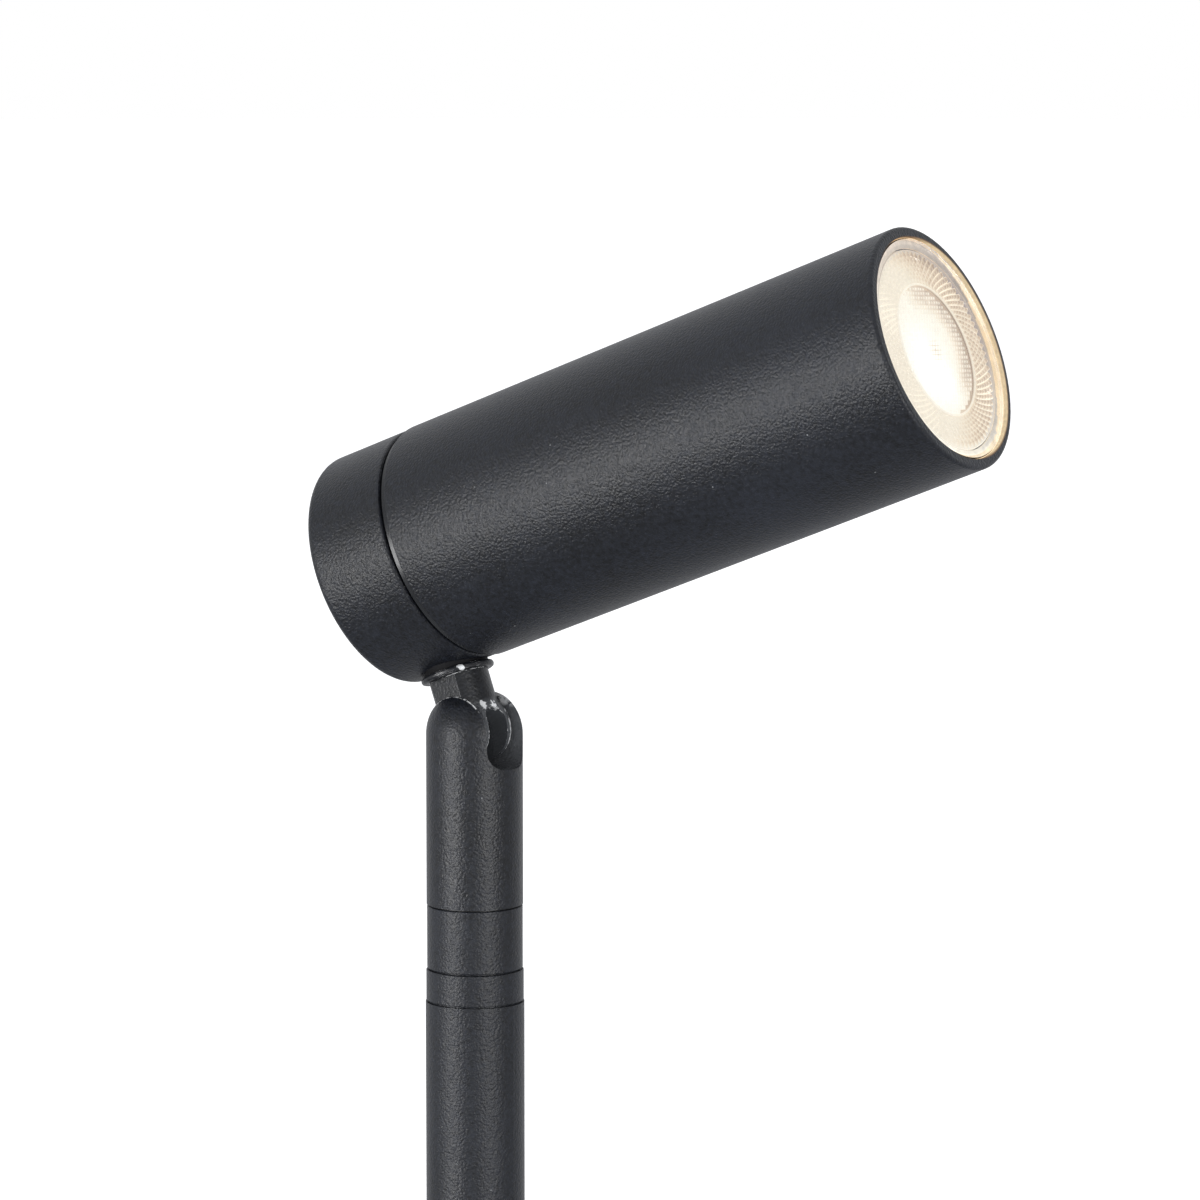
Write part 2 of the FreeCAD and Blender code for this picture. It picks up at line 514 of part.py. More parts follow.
add("led_emitter", head(cut(
    rev_x([(lx1 - 19.6, 0), (lx1 - 19.6, 7.0), (lx1 - 18.6, 7.0), (lx1 - 18.4, 6.2),
           (lx1 - 18.4, 0)]))))
add("lamp_driver", head(fuse(box(lx0 + 6.0, lx1 - 22.5, -8.5, 8.5, HEAD_H - 0.8, HEAD_H + 0.8),
                             cyl(3.6, (lx0 + 9, -3, HEAD_H + 4.2), (lx0 + 21, -3, HEAD_H + 4.2)),
                             box(lx0 + 8, lx0 + 16, 2, 8, HEAD_H + 0.6, HEAD_H + 5.5))))
# moulded lens: flat rim, facetted annulus, and a shallow dish in the middle
lens = rev_x([(lx1 - 3.2, 0), (lx1 - 3.2, 23.95), (lx1 - 1.2, 23.95), (lx1 - 1.2, 24.8),
              (lx1 - 0.4, 24.8), (lx1, 24.4), (lx1, 23.9), (lx1 - 0.25, 23.7),
              (lx1 - 0.25, 16.5), (lx1 - 0.05, 16.3), (lx1 - 0.9, 15.9), (lx1 - 0.9, 0)])
bulge = rev_x([(lx1 - 3.0, 0), (lx1 - 3.0, 20.4), (lx1 - 8.0, 18.0), (lx1 - 16.5, 8.4),
               (lx1 - 16.5, 0)])
add("lamp_lens", head(fuse(lens, bulge)))

# ---------------------------------------------------------------- the barrel
add("barrel_seal", head(rev_x([
    (CAP_X1, SPIGOT_R + 0.1), (CAP_X1, 28.3), (CAP_X1 + 0.5, 28.5), (CAP_X1 + 0.55, SEAL_R - 0.18),
    (CAP_X1 + 0.72, SEAL_R), (BARREL_X0 - 0.3, SEAL_R), (BARREL_X0 - 0.12, SEAL_R - 0.18),
    (BARREL_X0, SEAL_R - 0.5), (BARREL_X0, SPIGOT_R + 0.1)])))
tr = SPIGOT_R + THREAD_FIT
ro = 0.9
barrel = rev_x([(BARREL_X0, tr), (BARREL_X0, BARREL_R - 0.3), (BARREL_X0 + 0.1, BARREL_R - 0.1),
                (BARREL_X0 + 0.3, BARREL_R), (BARREL_X1 - ro, BARREL_R)] +
               [(BARREL_X1 - ro + ro * math.sin(math.radians(t)),
                 BARREL_R - ro + ro * math.cos(math.radians(t))) for t in (15, 30, 45, 60, 75, 90)] +
               [(BARREL_X1, RIM_R + 0.1), (BARREL_X1 - 0.1, RIM_R), (LEDGE_X1, RIM_R), (LEDGE_X1, LEDGE_R),
                (LEDGE_X0, LEDGE_R), (LEDGE_X0 - 1.2, BARREL_IN_R), (23.4, BARREL_IN_R),
                (22.4, tr)])
add("barrel", head(barrel))
add("glass_seal", head(rev_x([(LEDGE_X1, LEDGE_R), (LEDGE_X1, RIM_R), (GLASS_X1 - 0.2, RIM_R),
                              (GLASS_X1 - 0.2, GLASS_R), (GLASS_X0, GLASS_R),
                              (GLASS_X0, LEDGE_R + 0.2), (GLASS_X0 - 0.2, LEDGE_R)])))
add("front_glass", head(rev_x([(GLASS_X0, 0), (GLASS_X0, GLASS_R), (GLASS_X1 - 0.25, GLASS_R),
                               (GLASS_X1, GLASS_R - 0.25), (GLASS_X1, 0)])))

# ------------------------------------------------------------------- export
for name, shape in PARTS.items():
    if not shape.isValid() or shape.Volume <= 0:
        print("BAD", name, shape.isValid(), shape.Volume)
    shape.exportStep("parts/" + name + ".step")
    b = shape.BoundBox
    print("%-20s solids %d vol %9.1f  x %.1f..%.1f y %.1f..%.1f z %.1f..%.1f" % (
        name, len(shape.Solids), shape.Volume, b.XMin, b.XMax, b.YMin, b.YMax, b.ZMin, b.ZMax))
print(len(PARTS), "nodes")
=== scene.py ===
import json
import math
import random

import bpy
import bmesh
from mathutils import Matrix, Vector


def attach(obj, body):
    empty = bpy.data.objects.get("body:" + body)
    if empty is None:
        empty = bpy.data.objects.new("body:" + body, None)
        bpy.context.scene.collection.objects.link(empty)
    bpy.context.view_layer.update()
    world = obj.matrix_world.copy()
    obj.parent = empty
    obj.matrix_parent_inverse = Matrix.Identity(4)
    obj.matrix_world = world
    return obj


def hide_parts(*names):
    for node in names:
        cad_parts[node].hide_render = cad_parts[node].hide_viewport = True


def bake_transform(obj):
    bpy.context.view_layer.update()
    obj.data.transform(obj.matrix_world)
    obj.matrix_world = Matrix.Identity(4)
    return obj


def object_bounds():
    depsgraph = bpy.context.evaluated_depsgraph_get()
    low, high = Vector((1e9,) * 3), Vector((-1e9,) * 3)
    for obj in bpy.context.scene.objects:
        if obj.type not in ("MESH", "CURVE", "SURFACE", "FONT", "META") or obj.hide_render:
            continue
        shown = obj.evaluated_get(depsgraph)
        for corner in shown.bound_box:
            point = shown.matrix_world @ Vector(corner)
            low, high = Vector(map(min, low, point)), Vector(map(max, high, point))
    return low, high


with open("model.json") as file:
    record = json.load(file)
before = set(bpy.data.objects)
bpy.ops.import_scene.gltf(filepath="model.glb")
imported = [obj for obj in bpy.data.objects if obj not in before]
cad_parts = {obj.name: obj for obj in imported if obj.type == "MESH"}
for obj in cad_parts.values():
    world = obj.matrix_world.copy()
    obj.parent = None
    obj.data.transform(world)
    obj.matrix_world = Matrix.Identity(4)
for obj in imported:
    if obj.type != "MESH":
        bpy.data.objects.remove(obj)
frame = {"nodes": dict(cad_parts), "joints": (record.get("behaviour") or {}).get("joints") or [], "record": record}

cad_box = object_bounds()
nodes = frame["nodes"]
record = frame["record"]
joints = {j["name"]: j for j in frame["joints"]}
scene = bpy.context.scene
random.seed(7)

# ------------------------------------------------------------------ the frame
D = Vector(joints["lamp_twist"]["axis"]).normalized()      # head axis, forwards
FOOT = Vector(joints["lamp_twist"]["pos_m"])               # head axis above the pivot
PIVOT = Vector(joints["tilt"]["pos_m"])
U = (FOOT - PIVOT).normalized()                            # neck, upwards
Y = U.cross(D).normalized()                                # across the head


def head_point(x, r=0.0, a=0.0):
    """x mm along the head axis, r mm from it, a turned from +Y towards U."""
    return FOOT + D * (x / 1000) + (Y * math.cos(a) + U * math.sin(a)) * (r / 1000)


def span(node):
    """Least and most mm along the head axis, and the largest radius."""
    xs, rs = [], []
    for v in nodes[node].data.vertices:
        w = Vector(v.co) - FOOT
        x = w.dot(D)
        xs.append(x * 1000)
        rs.append((w - D * x).length * 1000)
    return min(xs), max(xs), max(rs)


# ------------------------------------------------------------------ materials
def new_material(name):
    m = bpy.data.materials.new(name)
    m.use_nodes = True
    nt = m.node_tree
    nt.nodes.clear()
    out = nt.nodes.new("ShaderNodeOutputMaterial")
    return m, nt, out


def node(nt, kind, inputs=None, **props):
    n = nt.nodes.new(kind)
    for k, v in props.items():
        setattr(n, k, v)
    for k, v in (inputs or {}).items():
        s = n.inputs[k]
        if isinstance(v, bpy.types.NodeSocket):
            nt.links.new(v, s)
        else:
            s.default_value = v
    return n


def ramp(nt, fac, stops, interpolation="LINEAR"):
    n = nt.nodes.new("ShaderNodeValToRGB")
    n.color_ramp.interpolation = interpolation
    el = n.color_ramp.elements
    while len(el) > 1:
        el.remove(el[-1])
    el[0].position, el[0].color = stops[0]
    for p, c in stops[1:]:
        e = el.new(p)
        e.color = c
    nt.links.new(fac, n.inputs["Fac"])
    return n.outputs["Color"]


def grey(v):
    return (v, v, v, 1.0)


def coords(nt):
    return node(nt, "ShaderNodeTexCoord").outputs["Object"]


def noise(nt, co, scale, detail=2.0, rough=0.5, dist=0.0):
    return node(nt, "ShaderNodeTexNoise", {"Vector": co, "Scale": scale, "Detail": detail,
                                           "Roughness": rough, "Distortion": dist}).outputs["Fac"]


def math_node(nt, op, a, b=None, clamp=False):
    n = nt.nodes.new("ShaderNodeMath")
    n.operation = op
    n.use_clamp = clamp
    for i, v in enumerate((a, b)):
        if v is None:
            continue
        if isinstance(v, bpy.types.NodeSocket):
            nt.links.new(v, n.inputs[i])
        else:
            n.inputs[i].default_value = v
    return n.outputs[0]


def mix_colour(nt, fac, a, b):
    n = nt.nodes.new("ShaderNodeMix")
    n.data_type = "RGBA"
    for name, v in (("Factor", fac), ("A", a), ("B", b)):
        for s in n.inputs:
            if s.name == name and s.type == ("VALUE" if name == "Factor" else "RGBA") and s.enabled:
                if isinstance(v, bpy.types.NodeSocket):
                    nt.links.new(v, s)
                else:
                    s.default_value = v
                break
    for s in n.outputs:
        if s.type == "RGBA" and s.enabled:
            return s


def bump(nt, height, strength, distance, normal=None):
    ins = {"Height": height, "Strength": strength, "Distance": distance}
    if normal is not None:
        ins["Normal"] = normal
    return node(nt, "ShaderNodeBump", ins).outputs["Normal"]


def edge_mask(nt, radius, low, high):
    """Near 1 on sharp edges, from how far the rounded normal leaves the true one."""
    bev = node(nt, "ShaderNodeBevel", {"Radius": radius}, samples=6).outputs["Normal"]
    geo = node(nt, "ShaderNodeNewGeometry").outputs["Normal"]
    dot = node(nt, "ShaderNodeVectorMath", {0: bev, 1: geo}, operation="DOT_PRODUCT").outputs["Value"]
    off = math_node(nt, "SUBTRACT", 1.0, dot)
    n = node(nt, "ShaderNodeMapRange", {"Value": off, "From Min": low, "From Max": high})
    return n.outputs["Result"]


def away_from(nt, co, point):
    return node(nt, "ShaderNodeVectorMath", {0: co, 1: tuple(point)}, operation="DISTANCE").outputs["Value"]


def ramp_down(nt, value, near, far):
    """1 below near, 0 above far."""
    return node(nt, "ShaderNodeMapRange", {"Value": value, "From Min": near, "From Max": far,
                                           "To Min": 1.0, "To Max": 0.0}).outputs["Result"]


def powder(name, base, rough=0.47, grain=1.0, specks=1.0, wear=0.0, chips_and_glints_at=(), slot=None, gloss_and_painted_sheen=None,
           rim=None, spill=False):
    """Fine-textured powder coat: sandy grain, faint cloudiness, a few pale dust specks.

    chips_and_glints_at: (point, radius) of bare spots: chipped coat, and painted glints drawn as bare metal. slot:
    (half width, height) of the fork's slot, whose walls are smoother and painted a lighter grey as painted reflected
    light, and whose upper edges are chipped. glossy: (point, radius) of a smoother end, painted lighter as a painted
    sheen."""
    m, nt, out = new_material(name)
    co = coords(nt)
    fine = noise(nt, co, 1750, 2.0, 0.6)
    sand = node(nt, "ShaderNodeTexVoronoi", {"Vector": co, "Scale": 1500.0, "Smoothness": 0.5},
                feature="SMOOTH_F1").outputs["Distance"]
    height = math_node(nt, "ADD", math_node(nt, "MULTIPLY", fine, 0.8),
                       math_node(nt, "MULTIPLY", sand, -0.6))
    cloud = noise(nt, co, 26, 3.0, 0.5)
    patch = noise(nt, co, 900, 2.0, 0.6)
    shade = math_node(nt, "ADD", math_node(nt, "MULTIPLY", cloud, 0.4),
                      math_node(nt, "MULTIPLY", patch, 0.6))
    dark = tuple(c * 0.45 for c in base) + (1.0,)
    light = tuple(c * 1.9 for c in base) + (1.0,)
    colour = ramp(nt, shade, [(0.36, dark), (0.64, light)])
    # dust specks: the middle of a few cells
    vor = node(nt, "ShaderNodeTexVoronoi", {"Vector": co, "Scale": 190.0, "Randomness": 1.0})
    spot = math_node(nt, "LESS_THAN", vor.outputs["Distance"], 0.036)
    pick = math_node(nt, "GREATER_THAN",
                     node(nt, "ShaderNodeSeparateColor", {"Color": vor.outputs["Color"]}).outputs[0],
                     0.72)
    dust = math_node(nt, "MULTIPLY", math_node(nt, "MULTIPLY", spot, pick), 0.34 * specks)
    colour = mix_colour(nt, dust, colour, (0.5, 0.51, 0.52, 1))
    r = node(nt, "ShaderNodeMapRange", {"Value": shade, "From Min": 0.3, "From Max": 0.7,
                                        "To Min": rough - 0.05, "To Max": rough + 0.05}).outputs["Result"]
    sep = node(nt, "ShaderNodeSeparateXYZ", {0: co})
    inner = None
    if slot:
        side_y = math_node(nt, "ABSOLUTE", sep.outputs["Y"])
        inner = math_node(nt, "MULTIPLY", math_node(nt, "LESS_THAN", side_y, slot[0] + 0.00003),
                          math_node(nt, "GREATER_THAN", sep.outputs["Z"], slot[1]))
        flat = node(nt, "ShaderNodeVectorMath", {0: co, 1: (1.0, 1.0, 0.0)}, operation="MULTIPLY").outputs["Vector"]
        reach = node(nt, "ShaderNodeVectorMath", {0: flat}, operation="LENGTH").outputs["Value"]
        inner = math_node(nt, "MULTIPLY", inner, math_node(nt, "LESS_THAN", reach, 0.01188))
    # near the neck's eye: a smoother coat, painted lighter as a painted sheen
    if gloss_and_painted_sheen:
        inner = ramp_down(nt, away_from(nt, co, gloss_and_painted_sheen[0]), gloss_and_painted_sheen[1], gloss_and_painted_sheen[1] + 0.0012)
    if inner is not None:
        # painted light: the slot's walls get a lighter grey (painted reflected light), the neck's eye a lighter grey
        # (painted sheen); both are also smoother
        r = math_node(nt, "SUBTRACT", r, math_node(nt, "MULTIPLY", inner, 0.20 if slot else 0.17))
        colour = mix_colour(nt, math_node(nt, "MULTIPLY", inner, 0.85), colour,
                            (0.115, 0.120, 0.128, 1) if slot else (0.060, 0.064, 0.070, 1))
    nrm = bump(nt, height, 0.8 * grain, 0.00024)
    p = node(nt, "ShaderNodeBsdfPrincipled", {"Roughness": r, "Base Color": colour, "Normal": nrm})
    shader = p.outputs["BSDF"]
    if wear > 0:
        mask = edge_mask(nt, 0.00045, 0.03, 0.16)
        chips = noise(nt, co, 620, 4.0, 0.65, 0.6)
        where = noise(nt, co, 150, 2.0, 0.5)
        gate = node(nt, "ShaderNodeMapRange", {"Value": math_node(nt, "ADD", chips, where),
                                               "From Min": 1.13 - 0.12 * wear,
                                               "From Max": 1.17 - 0.12 * wear}).outputs["Result"]
        wear_and_glints = math_node(nt, "MULTIPLY", mask, gate, clamp=True)
        broken = node(nt, "ShaderNodeMapRange", {"Value": chips, "From Min": 0.44, "From Max": 0.52}).outputs["Result"]
        if slot:
            band = ramp_down(nt, math_node(nt, "ABSOLUTE", math_node(nt, "SUBTRACT", side_y, slot[0])),
                             0.00016, 0.00034)
            upper = node(nt, "ShaderNodeMapRange", {"Value": sep.outputs["Z"], "From Min": slot[1] + 0.0143,
                                                    "From Max": slot[1] + 0.0155}).outputs["Result"]
            line = math_node(nt, "MULTIPLY", math_node(nt, "MULTIPLY", band, upper), broken)
            wear_and_glints = math_node(nt, "MULTIPLY", wear_and_glints, upper)
            wear_and_glints = math_node(nt, "MAXIMUM", wear_and_glints, line)
        if rim:
            # a bare-metal line along a disc about the tilt axis, a painted glint on its rim: (y, half width, radius)
            to = node(nt, "ShaderNodeVectorMath", {0: co, 1: tuple(PIVOT)}, operation="SUBTRACT").outputs["Vector"]
            to = node(nt, "ShaderNodeVectorMath", {0: to, 1: (1.0, 0.0, 1.0)}, operation="MULTIPLY").outputs["Vector"]
            away = node(nt, "ShaderNodeVectorMath", {0: to}, operation="LENGTH").outputs["Value"]
            line = ramp_down(nt, math_node(nt, "ABSOLUTE", math_node(nt, "SUBTRACT", sep.outputs["Y"], rim[0])),
                             rim[1] * 0.6, rim[1])
            line = math_node(nt, "MULTIPLY", line, math_node(nt, "GREATER_THAN", away, rim[2]))
            line = math_node(nt, "MULTIPLY", line, math_node(nt, "GREATER_THAN", sep.outputs["X"], 0.003))
            line = math_node(nt, "MULTIPLY", line, math_node(nt, "LESS_THAN", sep.outputs["Z"], 0.2835))
            wear_and_glints = math_node(nt, "MAXIMUM", wear_and_glints, math_node(nt, "MULTIPLY", line, broken))
        # bare spots: chipped coat, and painted glints drawn as bare metal
        for point, radius in chips_and_glints_at:
            d = math_node(nt, "ADD", away_from(nt, co, point),
                          math_node(nt, "MULTIPLY", math_node(nt, "SUBTRACT", chips, 0.5), radius * 3.6))
            spot = ramp_down(nt, d, radius * 0.85, radius)
            if slot:
                spot = math_node(nt, "MULTIPLY", spot, inner)
            wear_and_glints = math_node(nt, "MAXIMUM", wear_and_glints, spot)
        metal = node(nt, "ShaderNodeBsdfPrincipled",
                     {"Base Color": ramp(nt, chips, [(0.3, (0.62, 0.63, 0.64, 1)), (0.7, (0.86, 0.87, 0.88, 1))]),
                      "Metallic": 0.35, "Roughness": 0.30, "Normal": bump(nt, chips, 0.5, 0.0001)})
        shader = node(nt, "ShaderNodeMixShader", {0: wear_and_glints, 1: shader, 2: metal.outputs["BSDF"]}).outputs[0]
    if spill:
        # painted glow: the gold light of the bead on the inner edge of the rim, widest on the +Y side, drawn as
        # emission on the coat
        rel = node(nt, "ShaderNodeVectorMath", {0: co, 1: tuple(FOOT)}, operation="SUBTRACT").outputs["Vector"]
        dots = [node(nt, "ShaderNodeVectorMath", {0: rel, 1: tuple(v)}, operation="DOT_PRODUCT").outputs["Value"]
                for v in (D, Y, D.cross(Y))]
        sq = math_node(nt, "ADD", math_node(nt, "MULTIPLY", dots[1], dots[1]),
                       math_node(nt, "MULTIPLY", dots[2], dots[2]))
        away = math_node(nt, "SQRT", sq, 0.0)
        turn = math_node(nt, "DIVIDE", dots[1], away)
        edge = node(nt, "ShaderNodeMapRange", {"Value": turn, "From Min": 0.05, "From Max": 0.7,
                                               "To Min": 0.02765, "To Max": 0.0286}).outputs["Result"]
        soft = math_node(nt, "SUBTRACT", edge, away)
        lit = node(nt, "ShaderNodeMapRange", {"Value": soft, "From Min": -0.0001, "From Max": 0.0006}).outputs["Result"]
        lit = math_node(nt, "MULTIPLY", lit, math_node(nt, "GREATER_THAN", dots[0], 0.1500))
        grainy = node(nt, "ShaderNodeMapRange", {"Value": patch, "From Min": 0.2, "From Max": 0.8,
                                                 "To Min": 0.75, "To Max": 1.15}).outputs["Result"]
        gold = node(nt, "ShaderNodeEmission",
                    {"Color": ramp(nt, lit, [(0.0, (0.10, 0.045, 0.02, 1)), (0.45, (0.50, 0.30, 0.15, 1)),
                                             (1.0, (0.84, 0.66, 0.42, 1))]), "Strength": grainy})
        amount = math_node(nt, "MULTIPLY", lit, 0.9)
        shader = node(nt, "ShaderNodeMixShader", {0: amount, 1: shader, 2: gold.outputs[0]}).outputs[0]
    nt.links.new(shader, out.inputs["Surface"])
    return m


def moulded(name, base, rough, scale=700, strength=0.18, distance=0.0001, cloud_scale=40,
            spread=0.2, metallic=0.0, coat=0.0, sheen=0.0):
    """Moulded or rolled surface with fine grain, cloudiness and uneven gloss."""
    m, nt, out = new_material(name)
    co = coords(nt)
    grain = noise(nt, co, scale, 3.0, 0.6)
    cloud = noise(nt, co, cloud_scale, 3.0, 0.55)
    lo = tuple(c * (1 - spread) for c in base) + (1.0,)
    hi = tuple(min(1.0, c * (1 + spread)) for c in base) + (1.0,)
    colour = ramp(nt, cloud, [(0.3, lo), (0.7, hi)])
    r = node(nt, "ShaderNodeMapRange", {"Value": cloud, "From Min": 0.3, "From Max": 0.7,
                                        "To Min": max(0.02, rough - 0.06), "To Max": rough + 0.06}).outputs["Result"]
    p = node(nt, "ShaderNodeBsdfPrincipled",
             {"Base Color": colour, "Roughness": r, "Metallic": metallic, "Coat Weight": coat,
              "Sheen Weight": sheen, "Normal": bump(nt, grain, strength, distance)})
    nt.links.new(p.outputs["BSDF"], out.inputs["Surface"])
    return m


BLACK = (0.0047, 0.0060, 0.0098)
mats = {
    "body": powder("powder_black_head", BLACK, 0.46, 1.0, 1.0),
    # the barrel's coat carries a painted glow of the bead's light on its rim edge
    "barrel": powder("powder_black_barrel", BLACK, 0.46, 1.0, 1.0, spill=True),
    "pole": powder("powder_black_pole", BLACK, 0.47, 0.85, 0.8),
    "knuckle": powder("powder_black_knuckle", BLACK, 0.45, 0.85, 0.9, wear=0.5,
                      # the slot walls are painted a lighter grey: painted reflected light
                      slot=(0.00685, 0.2690),
                      # painted glint: a bare-metal spot on the slot floor's fillet edge
                      chips_and_glints_at=(((0.0105, -0.0056, 0.2701), 0.0013),)),
    "neck": powder("powder_black_neck", (0.0042, 0.0050, 0.0072), 0.42, 0.55, 0.6, wear=1.15,
                   # painted glint: a bare-metal line along the far cheek's rim
                   rim=(0.0049, 0.00050, 0.0062),
                   # painted sheen: the coat round the tilt pivot is painted lighter, and smoother
                   gloss_and_painted_sheen=(tuple(PIVOT), 0.0086),
                   # the last two spots, above the cable channel, are painted highlights drawn as bare metal
                   chips_and_glints_at=(((0.00097, -0.00631, 0.2943), 0.00095), ((0.0069, 0.0052, 0.2802), 0.0007),
                             ((0.0060, 0.0056, 0.2746), 0.0006), ((-0.0118, -0.0040, 0.2893), 0.0005),
                             ((0.0042, -0.0022, 0.2846), 0.0012), ((0.0058, 0.0010, 0.2842), 0.0014))),
    "nylon": moulded("nylon_black", (0.012, 0.012, 0.013), 0.48, 500, 0.22, 0.00016, 30),
    "rubber": moulded("rubber_black", (0.012, 0.013, 0.015), 0.27, 900, 0.06, 0.00006, 60, 0.15),
    "gasket": moulded("rubber_gasket", (0.008, 0.008, 0.009), 0.62, 900, 0.2, 0.0001, 60, 0.2),
    "gland_rubber": moulded("rubber_gland", (0.02, 0.02, 0.021), 0.6, 900, 0.2, 0.0001, 60),
    "cable": moulded("cable_sheath", (0.008, 0.008, 0.009), 0.22, 380, 0.08, 0.0001, 50, 0.2),
    "steel": moulded("zinc_plated_steel", (0.52, 0.53, 0.55), 0.30, 1400, 0.12, 0.00005, 90, 0.12, 1.0),
    "black_steel": moulded("black_oxide_steel", (0.09, 0.09, 0.095), 0.33, 1200, 0.15, 0.00006, 90, 0.2, 1.0),
    "nickel": moulded("nickel_brass", (0.72, 0.66, 0.52), 0.22, 1500, 0.08, 0.00004, 80, 0.08, 1.0),
    "grey_plastic": moulded("polyamide_grey", (0.5, 0.51, 0.5), 0.45, 700, 0.12, 0.0001, 60, 0.08),
    "ceramic": moulded("steatite", (0.78, 0.75, 0.68), 0.42, 900, 0.12, 0.00008, 50, 0.06),
    "white_shell": moulded("white_lacquer", (0.74, 0.74, 0.72), 0.35, 1100, 0.08, 0.00005, 50, 0.04),
    "white_plastic": moulded("white_plastic", (0.72, 0.72, 0.70), 0.33, 900, 0.06, 0.00005, 50, 0.04),
    "pcb_white": moulded("solder_mask_white", (0.8, 0.8, 0.77), 0.4, 1200, 0.06, 0.00003, 60, 0.03),
    "pcb_green": moulded("circuit_board", (0.04, 0.16, 0.08), 0.35, 1200, 0.1, 0.00004, 60, 0.2),
    "phosphor": moulded("led_phosphor", (0.9, 0.62, 0.15), 0.5, 1500, 0.1, 0.00004, 200, 0.08),
    "lead_brown": moulded("lead_brown", (0.13, 0.045, 0.018), 0.4, 900, 0.08, 0.00005, 80, 0.12),
    "lead_blue": moulded("lead_blue", (0.02, 0.09, 0.38), 0.4, 900, 0.08, 0.00005, 80, 0.12),
}


def striped_lead():
    """Green insulation with a yellow stripe that winds along it."""
    m, nt, out = new_material("lead_green_yellow")
    co = coords(nt)
    wave = node(nt, "ShaderNodeTexWave", {"Vector": co, "Scale": 60.0, "Distortion": 1.5},
                wave_type="BANDS", bands_direction="DIAGONAL").outputs["Fac"]
    colour = ramp(nt, wave, [(0.45, (0.03, 0.22, 0.05, 1)), (0.55, (0.72, 0.6, 0.04, 1))])
    p = node(nt, "ShaderNodeBsdfPrincipled", {"Base Color": colour, "Roughness": 0.42,
                                              "Normal": bump(nt, noise(nt, co, 900), 0.08, 0.00005)})
    nt.links.new(p.outputs["BSDF"], out.inputs["Surface"])
    return m


mats["lead_earth"] = striped_lead()


def clear_glass():
    """Flat toughened glass: see-through, with the sky's reflection growing at a slant."""
    m, nt, out = new_material("front_glass_clear")
    co = coords(nt)
    film = noise(nt, co, 90, 4.0, 0.6)
    r = node(nt, "ShaderNodeMapRange", {"Value": film, "From Min": 0.3, "From Max": 0.7,
                                        "To Min": 0.0, "To Max": 0.012}).outputs["Result"]
    tint = ramp(nt, film, [(0.3, (0.975, 0.985, 0.98, 1)), (0.7, (0.99, 0.995, 0.99, 1))])
    g = node(nt, "ShaderNodeBsdfGlass", {"Color": tint, "Roughness": r, "IOR": 1.5})
    clear = node(nt, "ShaderNodeBsdfTransparent", {"Color": tint})
    shadow = node(nt, "ShaderNodeLightPath").outputs["Is Shadow Ray"]
    mx = node(nt, "ShaderNodeMixShader", {0: shadow, 1: g.outputs[0], 2: clear.outputs[0]})
    nt.links.new(mx.outputs[0], out.inputs["Surface"])
    return m


mats["glass"] = clear_glass()


def glowing(name, rough, attr="glow", strength=1.0, spec=0.5, grain=0.0, scale=900):
    """Clear plastic lit from inside; how much light leaves each facet is in an attribute."""
    m, nt, out = new_material(name)
    co = coords(nt)
    a = node(nt, "ShaderNodeAttribute", attribute_name=attr).outputs["Color"]
    fine = noise(nt, co, scale, 3.0, 0.55)
    gain = node(nt, "ShaderNodeMapRange", {"Value": fine, "From Min": 0.25, "From Max": 0.75,
                                           "To Min": 0.93 - grain, "To Max": 1.05 + grain}).outputs["Result"]
    lit = node(nt, "ShaderNodeVectorMath", {0: a, 3: gain}, operation="SCALE").outputs[0]
    p = node(nt, "ShaderNodeBsdfPrincipled",
             {"Base Color": (0.05, 0.045, 0.04, 1), "Roughness": rough, "Specular IOR Level": spec,
              "Emission Color": lit, "Emission Strength": strength,
              "Normal": bump(nt, fine, 0.05, 0.00003)})
    nt.links.new(p.outputs["BSDF"], out.inputs["Surface"])
    return m


mats["lens"] = glowing("lens_acrylic_lit", 0.16, strength=1.0)
mats["bead"] = glowing("silicone_bead_lit", 0.35, strength=1.0, grain=0.18, scale=450)


for n in mats["gasket"].node_tree.nodes:
    if n.type == "BSDF_PRINCIPLED":
        n.inputs["Specular IOR Level"].default_value = 0.1


def give(node_name, key):
    o = nodes[node_name]
    o.data.materials.clear()
    o.data.materials.append(mats[key])


for n, k in {
    "stake_spike": "nylon", "base_adapter": "pole", "tube_clamp_screws": "black_steel",
    "gland_body": "nylon", "gland_seal": "gland_rubber", "gland_nut": "nylon",
    "splice_connector": "grey_plastic", "pole_cable": "cable", "pole_tube": "pole",
    "tube_plug": "pole", "swivel_sleeve": "pole", "swivel_washer": "nylon",
    "knuckle_holder": "knuckle", "swivel_set_screw": "black_steel", "pivot_screw": "black_steel",
    "friction_washers": "nylon", "neck": "neck", "pivot_pin": "steel", "neck_gasket": "gasket",
    "neck_washer": "steel", "neck_nut": "nickel", "rear_cap": "body", "joint_cable": "cable",
    "head_cable": "cable", "terminal_block": "grey_plastic", "terminal_screws": "steel",
    "earth_screw": "steel", "lead_earth": "lead_earth", "lead_live": "lead_brown",
    "lead_neutral": "lead_blue", "lamp_bracket": "steel", "bracket_screws": "steel",
    "lamp_holder": "ceramic", "holder_contacts": "nickel", "holder_screws": "steel",
    "lamp_heatsink": "white_shell", "lamp_base": "white_plastic", "lamp_pins": "nickel",
    "led_board": "pcb_white", "led_emitter": "phosphor", "lamp_driver": "pcb_green",
    "lamp_lens": "lens", "barrel_seal": "rubber", "barrel": "barrel", "glass_seal": "bead",
    "front_glass": "glass",
}.items():
    give(n, k)


